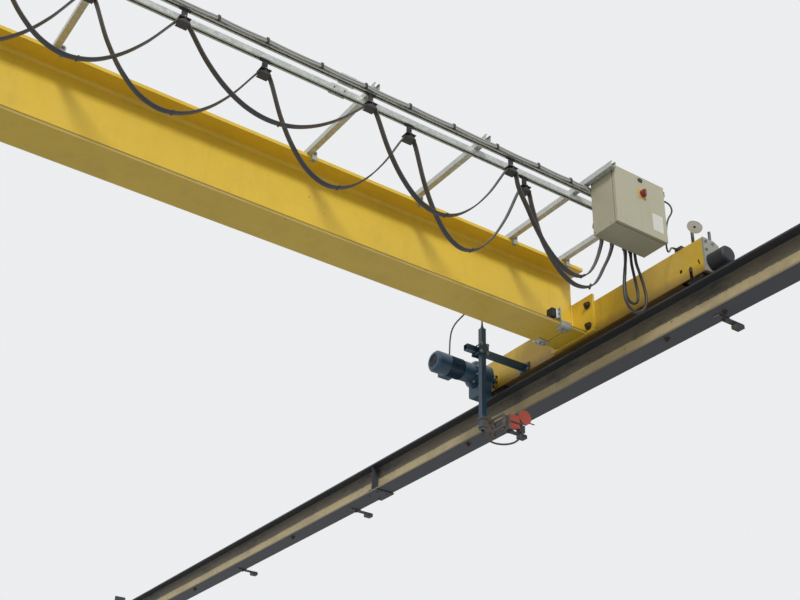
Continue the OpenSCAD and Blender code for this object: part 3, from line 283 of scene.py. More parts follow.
def new_group(name, kind, outputs, **inputs):
    """An empty node group. An input is given as its default, or as the word for its socket."""
    tree = bpy.data.node_groups.new(name, kind + "NodeTree")
    for label, value in inputs.items():
        word = {float: "Float", int: "Int"}.get(type(value), value)
        made = tree.interface.new_socket(label, in_out="INPUT", socket_type="NodeSocket" + word)
        if word is not value:
            made.default_value = value
    word = "Geometry" if kind == "Geometry" else "Float"
    for label in outputs:
        tree.interface.new_socket(label, in_out="OUTPUT", socket_type="NodeSocket" + word)
    return tree, Node(tree.nodes.new("NodeGroupInput")), Node(tree.nodes.new("NodeGroupOutput"))


print("node helpers ready")

# %% The few nodes that every finish needs
UNDER, OVER, COLOUR = 6, 7, 2  # the Mix node's two inputs and its output for colours


def fade(value, low, high):
    """0 below low, 1 above high, and a straight ramp between."""
    inputs = {"Value": value, "From Min": low, "From Max": high}
    return add(value.tree, "ShaderNodeMapRange", inputs, clamp=True)[0]


def mix(mask, under, over):
    """The colour over, laid on the colour under where mask is 1."""
    inputs = {0: mask, UNDER: under, OVER: over}
    return add(mask.tree, "ShaderNodeMix", inputs, data_type="RGBA")[COLOUR]


def noise(place, scale, detail=4.0, rough=0.55):
    """Cloudy noise between 0 and 1; scale is in patches per metre."""
    inputs = {"Vector": place, "Scale": scale, "Detail": detail, "Roughness": rough}
    return add(place.tree, "ShaderNodeTexNoise", inputs)[0]


def stretched(place, scale):
    """The place, scaled by its own number in each direction."""
    return add(place.tree, "ShaderNodeMapping", {"Vector": place, "Scale": scale})[0]


def parts(vector):
    """A vector's three numbers, as outputs 0, 1 and 2."""
    return add(vector.tree, "ShaderNodeSeparateXYZ", {0: vector})


def tint(r, g, b):
    """A colour given as 0 to 255 on a screen, as the light values that a shader uses."""
    linear = [c / 3294.6 if c <= 10 else ((c / 255 + 0.055) / 1.055) ** 2.4 for c in (r, g, b)]
    return (*linear, 1.0)


print("yellow as light:", [round(c, 3) for c in tint(214, 178, 62)])

# %% [markdown]
# ## Effects that many finishes share
#
# Dust settles on what faces up. Rain and oil leave runs. Paint wears off at edges first, and
# brushed paint is never quite level. Each effect is one node group that puts out a mask or a
# height, so the yellow, the blue and the grey paint can all use it, each with its own amounts.
# The groups read the object's own coordinates, so a pattern turns with a wheel or a door.

# %% Dust and runs
def make_dust():
    """Mask of dust: most on faces that look up, in clouds everywhere else."""
    tree, given, out = new_group(
        "settled_dust", "Shader", ["Mask"], Amount=0.5, Clouds=3.0, Reach=0.25)
    place = add(tree, "ShaderNodeTexCoord")
    facing_up = fade(parts(place["Normal"])[2], 0.15, 0.8)
    cloud = noise(place["Object"], given["Clouds"], 6.0, 0.62)
    speck = noise(place["Object"], 90.0, 2.0)
    patchy = fade(cloud + speck * 0.3, 0.45, 0.95)
    most = calc("MAXIMUM", facing_up * (patchy * 0.55 + 0.45), patchy * given["Reach"])
    out.feed({"Mask": most * given["Amount"]})
    return tree


def make_runs():
    """Mask of dark runs and smears, drawn out downwards."""
    tree, given, out = new_group("grime_runs", "Shader", ["Mask"], Amount=0.5, Clouds=4.0)
    place = add(tree, "ShaderNodeTexCoord")["Object"]
    run = fade(noise(stretched(place, (1.0, 1.0, 0.16)), 14.0, 5.0, 0.6), 0.52, 0.78)
    smear = fade(noise(place, given["Clouds"], 7.0, 0.7), 0.48, 0.72)
    out.feed({"Mask": (run * 0.55 + smear * 0.6) * given["Amount"]})
    return tree


DUST, RUNS = make_dust(), make_runs()
print("groups:", DUST.name, RUNS.name)

# %% Wear at edges, and the skin of paint
def make_edge_wear():
    """Mask of bare spots along edges: where the rounded normal leaves the face's own normal."""
    tree, given, out = new_group(
        "worn_edges", "Shader", ["Mask"], Amount=0.5, Width=0.003, Breaks=30.0)
    rounded = add(tree, "ShaderNodeBevel", {"Radius": given["Width"]}, samples=4)[0]
    face = add(tree, "ShaderNodeNewGeometry")["Normal"]
    same = add(tree, "ShaderNodeVectorMath", {0: rounded, 1: face},
               operation="DOT_PRODUCT")["Value"]
    place = add(tree, "ShaderNodeTexCoord")["Object"]
    broken = fade(noise(place, given["Breaks"], 5.0, 0.7), 0.5, 0.62)
    out.feed({"Mask": fade(1.0 - same, 0.02, 0.16) * broken * given["Amount"]})
    return tree


def make_grain():
    """A fine surface: a height for the bump, and a shade a little round 1 for the colour."""
    tree, given, out = new_group(
        "surface_grain", "Shader", ["Height", "Shade"], Fineness=160.0, Unevenness=0.12)
    place = add(tree, "ShaderNodeTexCoord")["Object"]
    swing = (noise(place, 1.7, 5.0, 0.6) - 0.5) * given["Unevenness"]
    out.feed({"Height": noise(place, given["Fineness"], 3.0), "Shade": swing * 2.0 + 1.0})
    return tree


EDGE_WEAR, GRAIN = make_edge_wear(), make_grain()
print("groups:", EDGE_WEAR.name, GRAIN.name)

# %% [markdown]
# ## Finishes
#
# A finish is one material with its own values in the shared groups. The Principled shader stays
# in the material itself: the groups only feed its colour, roughness and bump. Colours are what
# the paint tin would say, because the studio light shows a colour about as it is written.

# %% Build a finish from the shared effects
FINISH = {}
DUSTY, SOOT, RUST = tint(150, 138, 116), tint(54, 48, 40), tint(104, 62, 38)


def start_finish(name):
    """A new material in the list of finishes: its tree and its shader."""
    FINISH[name] = bpy.data.materials.new(name)
    FINISH[name].use_nodes = True
    tree = FINISH[name].node_tree
    return tree, Node(tree.nodes["Principled BSDF"])


def group(tree, shared, **values):
    """Places a shared group with this finish's own values."""
    return add(tree, "ShaderNodeGroup", values, node_tree=shared)


def shaded(colour, shade):
    """The colour, made darker or lighter by a shade that swings round 1."""
    grey = add(shade.tree, "ShaderNodeCombineColor", {0: shade, 1: shade, 2: shade})[0]
    return add(shade.tree, "ShaderNodeMix", {0: 1.0, UNDER: colour, OVER: grey},
               data_type="RGBA", blend_type="MULTIPLY")[COLOUR]


def relief(height, strength, distance=0.0006):
    """The normal of a surface with this height on it."""
    return add(height.tree, "ShaderNodeBump", {
        "Height": height, "Strength": strength, "Distance": distance})[0]


def painted_steel(name, colour, rough=0.42, dust=0.5, reach=0.25, grime=0.25, wear=0.5,
                  under=RUST, uneven=0.12, coat=0.15, dust_colour=DUSTY, film=None):
    """Brushed or sprayed paint on steel, with dust, runs and worn edges. film, where a finish
    has one, lays something more over the paint's colour and returns the new colour."""
    tree, shader = start_finish(name)
    skin = group(tree, GRAIN, Fineness=190.0, Unevenness=uneven)
    dirt = group(tree, DUST, Amount=dust, Reach=reach)["Mask"]
    runs = group(tree, RUNS, Amount=grime)["Mask"]
    bare = group(tree, EDGE_WEAR, Amount=wear)["Mask"]
    face = shaded(colour, skin["Shade"])
    if film:
        face = film(face)
    face = mix(bare, mix(runs, face, SOOT), under)
    shader.feed({
        "Base Color": mix(dirt, face, dust_colour),
        "Roughness": calc("MAXIMUM", dirt, bare) * (0.9 - rough) + rough,
        "Coat Weight": coat, "Coat Roughness": 0.25, "Normal": relief(skin["Height"], 0.12)})


print("dust as light:", [round(c, 3) for c in DUSTY])

# %% [markdown]
# Three paints carry something of their own. The runway's web has a pale dry film on its lower part.
# The film's straight top leaves the web above it dark, as a painted shadow of the top flange, and
# the lower flange's edges get a painted highlight. The end carriages are brown with grease near the
# rail, and the girder has rust stains and flange edges with a painted highlight under a painted
# shadow line. Each film is a mask worked out from the place and from the way a face looks.

# %% Films on three of the paints
HALF_SPAN = 6.0  # pingpong over it gives the distance to the nearer of x = 0 and x = -12
WEB_MARGIN = 0.012  # a web's sides lie nearer than this to one of the two
# The film's top is also the lower edge of the painted shadow on the runway's web.
FILM_AND_SHADOW_TOP, LOW_FLANGE_TOP = 0.126, 0.026  # heights on the runway
GREASE_TOP = 0.372  # where the grease ends on a carriage
# On the girder's lower flange edge: a pale painted highlight below, a dark painted shadow line with
# dirt above.
FLANGE_TOP, SHADOW_DIRT_FROM, SHADOW_DIRT_TO = 0.3555, 0.346, 0.351  # heights on the girder's lower flange


def looks_along(place, axis):
    """1 on faces that look along an axis, to either side, and 0 on all others."""
    return calc("GREATER_THAN", calc("ABSOLUTE", parts(place["Normal"])[axis]), 0.7)


def web_film_and_light(face):
    """Pale dry film on the lower part of the runway's webs, with a ragged top and flaked spots.
    Above that top the web keeps its dark paint, which is a painted shadow of the top flange.
    The lower flange's edges get a thin pale film, which is a painted highlight."""
    place = add(face.tree, "ShaderNodeTexCoord")
    here = place["Object"]
    x, z = parts(here)[0], parts(here)[2]
    near = calc("LESS_THAN", calc("PINGPONG", x, HALF_SPAN), WEB_MARGIN)
    level = stretched(here, (1.0, 1.0, 3.0))
    top = noise(level, 1.1, 2.0) * 0.02 + noise(here, 34.0, 8.0, 0.75) * 0.03 + FILM_AND_SHADOW_TOP
    patch = fade(noise(level, 2.2, 9.0, 0.72), 0.3, 0.5)
    web = calc("MAXIMUM", fade(top - z, 0.0, 0.006) * (patch * 0.35 + 0.6), patch * 0.22)
    # A thin pale film on the lower flange's edges: a painted highlight.
    edge = fade(LOW_FLANGE_TOP - z, 0.0, 0.001) * 0.4
    spot = fade(noise(here, 24.0, 6.0, 0.7), 0.62, 0.68)
    return mix(looks_along(place, 0) * (near * web + (1.0 - near) * edge), face,
               mix(spot, tint(206, 188, 144), tint(96, 84, 66)))


def rail_grease(face):
    """Brown grease and rail dust that the wheels throw on a carriage's lower edge."""
    place = add(face.tree, "ShaderNodeTexCoord")["Object"]
    height = parts(place)[2] - noise(place, 9.0, 8.0, 0.75) * 0.06
    return mix(fade(GREASE_TOP - height, 0.0, 0.09) * 0.8, face, tint(100, 68, 34))


def girder_stains_and_edge_light(face):
    """A few rust stains in loose clusters, and the lower flange's edges: a pale painted highlight
    with some dust, under a dark line of painted shadow with some dirt along the top, where the
    trolley's wheels run close by."""
    place = add(face.tree, "ShaderNodeTexCoord")
    here = place["Object"]
    z = parts(here)[2]
    stain = fade(noise(here, 1.6, 2.0), 0.56, 0.64) * fade(noise(here, 26.0, 3.0), 0.66, 0.72)
    face = mix(stain * 0.6, face, tint(112, 74, 38))
    # The flange's edge faces: a painted highlight, with a painted shadow line and some dirt along
    # the top.
    low = looks_along(place, 1) * calc("LESS_THAN", z, FLANGE_TOP)
    shadow_and_dirt = fade(z + noise(here, 12.0, 5.0) * 0.006, SHADOW_DIRT_FROM, SHADOW_DIRT_TO)
    return mix(low * 0.62, face, mix(shadow_and_dirt, tint(220, 196, 124), tint(92, 70, 30)))


print("heights with a film:", FILM_AND_SHADOW_TOP, GREASE_TOP, FLANGE_TOP)

# %% The paints, each with its own amounts
UNDERCOAT = tint(92, 66, 34)
PAINTS = {
    "crane_yellow": dict(
        colour=tint(228, 192, 52), rough=0.4, dust=0.6, reach=0.12, grime=0.16, wear=0.75,
        under=UNDERCOAT, uneven=0.1, film=girder_stains_and_edge_light),
    "carriage_yellow": dict(
        colour=tint(216, 178, 48), dust=0.6, reach=0.2, grime=0.3, wear=0.8, under=UNDERCOAT,
        uneven=0.16, film=rail_grease),
    # The runway's worn edges show a pale undercoat, which is also a painted highlight along its
    # edges.
    "runway_steel": dict(
        colour=tint(50, 54, 62), rough=0.6, dust=0.7, reach=0.1, grime=0.2, wear=0.7, coat=0.0,
        under=tint(126, 118, 102), dust_colour=tint(140, 130, 110), film=web_film_and_light),
    "grey_paint": dict(
        colour=tint(150, 150, 142), dust=0.6, reach=0.3, grime=0.3, wear=0.6),
    "dark_paint": dict(
        colour=tint(56, 58, 56), dust=0.4, reach=0.2, grime=0.2, wear=0.6),
    "drive_blue": dict(
        colour=tint(22, 66, 92), rough=0.36, dust=0.32, reach=0.08, grime=0.2, wear=0.6,
        under=tint(86, 84, 80)),
    "cabinet_paint": dict(
        colour=tint(178, 174, 148), rough=0.45, dust=0.45, reach=0.16, grime=0.14, wear=0.45,
        under=tint(92, 88, 76), uneven=0.05),
    "signal_white": dict(
        colour=tint(252, 252, 248), rough=0.4, dust=0.05, reach=0.02, grime=0.06,
        under=tint(120, 112, 100)),
    "plate_yellow": dict(
        colour=tint(226, 172, 58), rough=0.45, dust=0.2, reach=0.15, grime=0.1, wear=0.2,
        under=tint(150, 112, 50), coat=0.0),
}
for name, values in PAINTS.items():
    painted_steel(name, **values)
print("painted finishes:", ", ".join(FINISH))

# %% [markdown]
# Zinc, iron and plastic need other recipes. Hot-dip zinc freezes in flat crystals of slightly
# different brightness, which Voronoi cells give. A rail is dark, with a band that the wheels keep
# bright. Moulded plastic and rubber are nearly one colour, so their life is in the roughness.

# %% Zinc, iron, plastic, rubber
def zinc_coated(name, colour, metal=0.55, flake=55.0):
    """Galvanised steel: crystals of zinc, each a little lighter or darker."""
    tree, shader = start_finish(name)
    place = add(tree, "ShaderNodeTexCoord")["Object"]
    cells = add(tree, "ShaderNodeTexVoronoi", {"Vector": place, "Scale": flake})["Color"]
    tone = add(tree, "ShaderNodeSeparateColor", {0: cells})[0]
    skin = group(tree, GRAIN, Fineness=240.0, Unevenness=0.1)
    dirt = group(tree, DUST, Amount=0.35, Reach=0.3)["Mask"]
    runs = group(tree, RUNS, Amount=0.2)["Mask"]
    face = mix(runs, shaded(colour, skin["Shade"] * (tone * 0.24 + 0.86)), SOOT)
    shader.feed({
        "Base Color": mix(dirt, face, DUSTY), "Metallic": metal - dirt * metal,
        "Roughness": tone * 0.18 + 0.34, "Normal": relief(skin["Height"], 0.08)})


def dark_iron(name, colour, bright, share, rust=0.4):
    """Mill-dark iron that is rubbed bright in broken patches and rusts in others."""
    tree, shader = start_finish(name)
    place = add(tree, "ShaderNodeTexCoord")["Object"]
    skin = group(tree, GRAIN, Fineness=120.0, Unevenness=0.25)
    rubbed = fade(noise(place, 22.0, 6.0, 0.65), 1.0 - share, 1.12 - share)
    rusted = fade(noise(place, 9.0, 8.0, 0.7), 0.5, 0.7)
    dirt = group(tree, DUST, Amount=0.3, Reach=0.3)["Mask"]
    face = mix(rubbed, mix(rusted * rust, shaded(colour, skin["Shade"]), RUST), bright)
    shader.feed({
        "Base Color": mix(dirt, face, DUSTY), "Metallic": rubbed * 0.6,
        "Roughness": 0.7 - rubbed * 0.3, "Normal": relief(skin["Height"], 0.25)})


def moulded(name, colour, rough=0.5, pebbles=0.1, dust=0.3, coat=0.0):
    """Plastic or rubber: an even colour, a fine pebbled skin, and dust in it."""
    tree, shader = start_finish(name)
    skin = group(tree, GRAIN, Fineness=260.0, Unevenness=0.1)
    dirt = group(tree, DUST, Amount=dust, Reach=0.35)["Mask"]
    runs = group(tree, RUNS, Amount=0.1)["Mask"]
    face = mix(runs, shaded(colour, skin["Shade"]), SOOT)
    shader.feed({
        "Base Color": mix(dirt, face, DUSTY), "Roughness": dirt * 0.35 + rough,
        "Coat Weight": coat, "Normal": relief(skin["Height"], pebbles)})


zinc_coated("galvanised", tint(196, 200, 196))
zinc_coated("bolt_zinc", tint(168, 168, 160), metal=0.7, flake=220.0)
dark_iron("rail_steel", tint(70, 62, 56), tint(150, 144, 136), 0.42)
dark_iron("wheel_iron", tint(58, 56, 54), tint(140, 136, 130), 0.45)
dark_iron("dark_bolt", tint(62, 44, 36), tint(120, 104, 90), 0.3, rust=0.8)
dark_iron("arm_steel", tint(92, 88, 84), tint(150, 146, 138), 0.4, rust=0.25)
moulded("black_rubber", tint(28, 31, 40), rough=0.62, pebbles=0.3, dust=0.16)
moulded("dark_plastic", tint(40, 41, 44), rough=0.46)
moulded("switch_red", tint(122, 28, 32), rough=0.34, dust=0.12, coat=0.3)
moulded("collector_red", tint(176, 74, 58))
moulded("lock_black", tint(36, 38, 36), rough=0.35, dust=0.1)
moulded("bare_patch", tint(214, 214, 204), rough=0.4, dust=0.25)
print("finishes:", len(FINISH))

# %% [markdown]
# A cable's jacket shines along its length, and a flat cable shows the ridges of the wires in it.
# The pattern has to follow the cable round every loop, so these finishes read the cable's own
# UV map, whose first number runs round the jacket and whose second is the distance along it.

# %% Cable jackets
def cable_jacket(name, colour, ridges, rough=0.4):
    """Rubber jacket with long ridges and scuffs that follow the cable."""
    tree, shader = start_finish(name)
    line = add(tree, "ShaderNodeUVMap", uv_map="along")[0]
    wave = calc("SINE", parts(line)[0] * (2 * math.pi * ridges))
    scuffs = noise(stretched(line, (6.0, 2.2, 1.0)), 3.0, 6.0, 0.65)
    dirt = group(tree, DUST, Amount=0.38, Reach=0.3)["Mask"]
    shader.feed({
        "Base Color": mix(dirt, shaded(colour, scuffs * 0.4 + 0.8), DUSTY),
        "Roughness": scuffs * 0.35 + (rough - 0.12),
        "Normal": relief(wave * 0.5 + scuffs, 0.25, 0.0005)})


cable_jacket("cable_grey", tint(50, 49, 52), 14)
cable_jacket("cable_black", tint(38, 38, 42), 6)
cable_jacket("cable_light", tint(178, 179, 174), 5, rough=0.3)
print("all finishes:", len(FINISH))

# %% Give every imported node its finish
NODE_FINISH = {
    "runway_steel": "runway_beam_wall runway_beam_far runway_stops runway_brackets",
    "rail_steel": "rail_wall rail_far",
    "crane_yellow": "bridge_girder head_plates",
    "carriage_yellow": "end_carriage_wall end_carriage_far",
    "grey_paint": "buffer_plates",
    "dark_paint": "signal_stalk",
    "arm_steel": "collector_arms",
    "black_rubber": "buffers trolley_stop_rubbers",
    "galvanised": "trolley_stop_brackets festoon_arms festoon_track_inner festoon_track_outer "
                  "cabinet_mounting_plate",
    "wheel_iron": "wheel_wall_south wheel_wall_north wheel_far_south wheel_far_north",
    "drive_blue": "drive_gearboxes drive_motors collector_bracket collector_post",
    "signal_white": "signal_disc",
    "dark_plastic": "festoon_carriers_inner festoon_carriers_outer festoon_end_boxes "
                    "cable_fittings collector_terminal",
    "cabinet_paint": "cabinet_body cabinet_door",
    "plate_yellow": "switch_plate",
    "switch_red": "switch_handle",
    "collector_red": "collector_head",
}
for finish, nodes in NODE_FINISH.items():
    for node_name in nodes.split():
        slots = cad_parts[node_name].data.materials
        slots.clear()
        slots.append(FINISH[finish])
print("finished nodes:", sum(len(nodes.split()) for nodes in NODE_FINISH.values()))

# %% [markdown]
# ## Cables
#
# A cable is a section carried along its route. The route's few points are first joined by a
# smooth curve, and then a ring of points is set up at every step. A flat cable keeps its width
# level, because its saddles hold it so; a round one only must not twist. A mesh is used rather
# than a curve object, because it can carry the UV map that the jacket's finish reads.

# %% Smooth line through a route
def smooth_line(points, step):
    """Points about one step apart on a smooth curve through all the given points."""
    points = [Vector(p) for p in points]
    whole = [points[0] * 2 - points[1], *points, points[-1] * 2 - points[-2]]
    line = [points[0]]
    for p0, p1, p2, p3 in zip(whole, whole[1:], whole[2:], whole[3:]):
        t1 = (p1 - p0).length ** 0.5
        t2 = t1 + (p2 - p1).length ** 0.5
        t3 = t2 + (p3 - p2).length ** 0.5
        count = max(1, round((p2 - p1).length / step))
        for i in range(1, count + 1):
            t = t1 + (t2 - t1) * i / count
            a = p0.lerp(p1, t / t1)
            b = p1.lerp(p2, (t - t1) / (t2 - t1))
            c = p2.lerp(p3, (t - t2) / (t3 - t2))
            line.append(a.lerp(b, t / t2).lerp(b.lerp(c, (t - t1) / (t3 - t1)),
                                               (t - t1) / (t2 - t1)))
    return line


def distances(line):
    """How far along the line each of its points lies, in metres."""
    steps = ((b - a).length for a, b in zip(line, line[1:]))
    return list(accumulate(steps, initial=0.0))


def rings_along(line, section, level=False):
    """The section at every point of the line; level keeps its width horizontal."""
    side = None
    for i, p in enumerate(line):
        run = (line[min(i + 1, len(line) - 1)] - line[max(i - 1, 0)]).normalized()
        if level:
            side = Vector((0, 1, 0)) - run * run.y
        elif side is None:
            side = run.orthogonal()
        else:
            side = side - run * side.dot(run)
        side.normalize()
        rise = run.cross(side)
        yield [p + side * a + rise * b for a, b in section]


print("smooth test line:", len(smooth_line([(0, 0, 0), (0, 0, 1), (0, 1, 1)], 0.1)), "points")

# %% From rings to a mesh, and from a mesh to a piece
def finished(build):
    """Turns a bmesh into a mesh whose faces all look outwards."""
    bmesh.ops.recalc_face_normals(build, faces=build.faces)
    mesh = bpy.data.meshes.new("shape")
    build.to_mesh(mesh)
    build.free()
    return mesh


def close_rings(rings, smooth=True, lengths=None):
    """A closed mesh through rings of points. Where lengths tell how far along each ring lies,
    the mesh gets a UV map: round the jacket, and metres along it."""
    build = bmesh.new()
    uv = build.loops.layers.uv.new("along") if lengths else None
    rings = [[build.verts.new(p) for p in ring] for ring in rings]
    sides = len(rings[0])
    for k, j in product(range(len(rings) - 1), range(sides)):
        a, b, after = rings[k], rings[k + 1], (j + 1) % sides
        face = build.faces.new((a[j], b[j], b[after], a[after]))
        face.smooth = smooth
        if lengths:
            for loop, u, v in zip(face.loops, (j, j, j + 1, j + 1), (k, k + 1, k + 1, k)):
                loop[uv].uv = (u / sides, lengths[v])
    build.faces.new(rings[0])
    build.faces.new(rings[-1][::-1])
    return finished(build)


def add_piece(name, mesh, finish, slot=None, body="bridge"):
    """Makes a mesh a piece of the crane that moves with a body."""
    mesh.name = name
    mesh.materials.clear()
    mesh.materials.append(FINISH[finish])
    piece = in_scene(name, mesh)
    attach(piece, body)
    return piece


print("mesh helpers ready")

# %% Lay every cable
def round_section(diameter, sides=12):
    """A circle's points."""
    return [(diameter / 2 * math.cos(2 * math.pi * i / sides),
             diameter / 2 * math.sin(2 * math.pi * i / sides)) for i in range(sides)]


CORNER = [(0.018, 0.0016), (0.0173, 0.0035), (0.0152, 0.0045)]  # a quarter of the flat section
FLAT_SECTION = [(a * x, b * y) for a, b, order in ((1, 1, 1), (-1, 1, -1), (-1, -1, 1), (1, -1, -1))
                for x, y in CORNER[::order]]
FLAT_STEP, ROUND_STEP = 0.015, 0.02

CABLES = {  # name: (length, width or diameter, finish, stiffness, lay)
    "festoon_cable_inner": (10.96, 0.036, "cable_grey", "medium", "hanging"),
    "festoon_cable_outer": (9.37, 0.036, "cable_grey", "medium", "hanging"),
    "cabinet_loop_cable_wide": (1.09, 0.020, "cable_black", "stiff", "hanging"),
    "cabinet_loop_cable_narrow": (0.86, 0.020, "cable_black", "stiff", "hanging"),
    "cabinet_side_cable": (0.72, 0.012, "cable_black", "medium", "hanging"),
    "track_cable_lower": (10.90, 0.013, "cable_light", "medium", "taut"),
    "track_cable_upper": (10.94, 0.013, "cable_light", "medium", "taut"),
    "motor_cable": (1.07, 0.012, "cable_black", "medium", "hanging"),
    "collector_feed_cable": (0.49, 0.012, "cable_black", "medium", "hanging"),
    "collector_cable": (0.35, 0.014, "cable_black", "medium", "hanging"),
}
CABLE_LINES = {}
for name, (length, diameter, finish, stiffness, lay) in CABLES.items():
    route = [(x / 1000, y / 1000 + BRIDGE_Y, z / 1000) for x, y, z in ROUTES[name]]
    flat = name.startswith("festoon")
    line = smooth_line(route, FLAT_STEP if flat else ROUND_STEP)
    section = FLAT_SECTION if flat else round_section(diameter)
    mesh = close_rings(rings_along(line, section, level=flat), lengths=distances(line))
    slot = "cable_grey" if name.startswith(("festoon", "cabinet")) else "cable_black"
    piece = add_piece(name + "_jacket", mesh, finish, slot)
    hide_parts(name)
    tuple(route[0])
    [tuple(p) for p in line]
    CABLE_LINES[name] = line
    print(f"{name}: meant {length:.2f} m, lies {distances(line)[-1]:.2f} m")

# %% [markdown]
# ## Small parts that repeat
#
# Bolts, clips, ties and grille wires repeat, so Geometry Nodes place them: one tree for each kind,
# fed with a mesh of bare points. Each point carries the direction its part faces and its size.
# The result is turned into a plain mesh, because instances don't survive the export.

# %% Run a tree on points and keep the mesh
def point_mesh(spots):
    """A mesh of bare points; a spot is (place, direction, size in metres)."""
    mesh = bpy.data.meshes.new("spots")
    mesh.from_pydata([tuple(place) for place, _, _ in spots], [], [])
    mesh.attributes.new("aim", "FLOAT_VECTOR", "POINT")
    mesh.attributes.new("size", "FLOAT", "POINT")
    ways = [c for _, way, _ in spots for c in way]
    mesh.attributes["aim"].data.foreach_set("vector", ways)
    mesh.attributes["size"].data.foreach_set("value", [value for _, _, value in spots])
    return mesh


def grow(name, base, tree, finish, slot=None, body="bridge", **values):
    """Runs a Geometry Nodes tree on a base mesh and keeps the result as a piece."""
    host = in_scene(name + "_base", base)
    modifier = host.modifiers.new("grow", "NODES")
    modifier.node_group = tree
    values["Finish"] = FINISH[finish]
    for socket in tree.interface.items_tree:
        if socket.in_out == "INPUT" and socket.name in values:
            modifier[socket.identifier] = values[socket.name]
    whole = host.evaluated_get(bpy.context.evaluated_depsgraph_get())
    mesh = bpy.data.meshes.new_from_object(whole)
    host.modifiers.clear()
    bpy.data.objects.remove(host)
    print(f"{name}: {len(mesh.polygons)} faces")
    add_piece(name, mesh, finish, slot, body)


print("from points to pieces: ready")

# %% What several trees share
def finish_tree(tree, given, out, geometry):
    """Every tree ends the same way: real geometry, with its material."""
    real = add(tree, "GeometryNodeRealizeInstances", {0: geometry})[0]
    out.feed({0: add(tree, "GeometryNodeSetMaterial", {
        0: real, "Material": given["Finish"]})[0]})
    return tree


def joined(tree, shapes):
    """One geometry out of several."""
    join = add(tree, "GeometryNodeJoinGeometry")
    for shape in shapes:
        join.feed({0: shape})
    return join[0]


def own_aim(tree):
    """The rotation that turns +Z along each point's own direction."""
    aim = add(tree, "GeometryNodeInputNamedAttribute", {"Name": "aim"}, data_type="FLOAT_VECTOR")
    return add(tree, "FunctionNodeAlignRotationToVector", {"Vector": aim[0]}, axis="Z")[0]


def on_points(tree, points, instance):
    """Places an instance on each point, turned along its aim and scaled by its size."""
    size = add(tree, "GeometryNodeInputNamedAttribute", {"Name": "size"}, data_type="FLOAT")[0]
    return add(tree, "GeometryNodeInstanceOnPoints", {
        "Points": points, "Instance": instance, "Rotation": own_aim(tree), "Scale": size})[0]


def circle(tree, sides, radius):
    """A circle as a curve."""
    return add(tree, "GeometryNodeCurvePrimitiveCircle", {
        "Resolution": sides, "Radius": radius})[0]


print("tree helpers ready")

# %% [markdown]
# A bolt is a washer, a hexagon and the end of a thread, which are all short cylinders on one axis.
# So is a gland's nut with its collar. One tree maker serves both: it takes a list of discs, whose
# sizes are shares of the width across the flats.

# %% Bolts and nuts as stacked discs
def make_disc_tree(name, result, discs):
    """Discs on every point; a disc is (sides, radius, height, lift of its lower face)."""
    tree, given, out = new_group(
        name, "Geometry", [result], Points="Geometry", Finish="Material")
    shapes = []
    for sides, radius, height, lift in discs:
        disc = add(tree, "GeometryNodeMeshCylinder", {
            "Vertices": sides, "Radius": radius, "Depth": height})[0]
        shapes.append(add(tree, "GeometryNodeTransform", {
            0: disc, "Translation": (0, 0, lift + height / 2)})[0])
    return finish_tree(tree, given, out, on_points(tree, given["Points"], joined(tree, shapes)))


BOLT_TREE = make_disc_tree("hexagon_bolts", "Bolts", [
    (14, 0.92, 0.16, 0.0), (6, 0.577, 0.55, 0.16), (10, 0.47, 0.06, 0.71), (10, 0.30, 0.22, 0.77)])
NUT_TREE = make_disc_tree("gland_nuts", "Nuts", [(6, 0.577, 0.3, -0.42), (18, 0.48, 0.1, -0.12)])
print("trees:", BOLT_TREE.name, NUT_TREE.name)

# %% Noting where bolts sit
WEST, EAST, SOUTH, NORTH = (-1, 0, 0), (1, 0, 0), (0, -1, 0), (0, 1, 0)
DOWN, UP = (0, 0, -1), (0, 0, 1)
FAR_X = -12000  # the far rail, from the wall rail at 0
MIDDLE = 110  # the girder's middle, from the bridge's zero
DRIVE_Y, DRIVE_Z = 1040, 385.3  # the axis of a travel drive
BOLTS = {("bridge", "bolt_zinc"): [], ("bridge", "dark_bolt"): [], ("runway", "dark_bolt"): []}


def bolt(x, y, z, way, size, finish="bolt_zinc", body="bridge"):
    """Notes a bolt, its place in millimetres from the bridge or the runway's middle."""
    shift = BRIDGE_Y if body == "bridge" else 0.0
    BOLTS[body, finish].append(((x / 1000, y / 1000 + shift, z / 1000), way, size / 1000))


def both_sides(x, way):
    """A place and direction near the wall rail, and the same one near the far rail."""
    return ((x, way), (FAR_X - x, (-way[0], way[1], way[2])))


def bolt_rings(x, way, count, first, radius, size, finish="bolt_zinc"):
    """A ring of bolts round the axis of each travel drive."""
    for (place, facing), i in product(both_sides(x, way), range(count)):
        a = math.radians(360 / count * i + first)
        bolt(place, DRIVE_Y + radius * math.cos(a), DRIVE_Z + radius * math.sin(a), facing, size,
             finish)


print("kinds of bolt:", list(BOLTS))

# %% [markdown]
# Where the bolts sit follows from what they hold: four through each head plate, a ring round each
# bearing and motor flange, two through each clamp, and nuts on the runway's bottom flange.

# %% Bolts of the bridge
# Head plates, the three flanges of each drive, the carriages' end plates.
for (x, way), y, z in product(both_sides(-94, WEST), (-180, 180), (383, 553)):
    bolt(x, MIDDLE + y, z, way, 34, "dark_bolt")
bolt_rings(-88, WEST, 6, 30, 47, 13, "dark_bolt")
bolt_rings(-306, WEST, 8, 22.5, 86.5, 11)
bolt_rings(-164, EAST, 8, 0, 86, 13)
for (y, way), (x, side), (dx, z) in product(
        ((-1172, SOUTH), (1172, NORTH)), ((0, 1), (FAR_X, -1)),
        ((-52, 548), (14, 548), (-52, 484), (50, 500))):
    bolt(x + side * dx, y, z, way, 16)

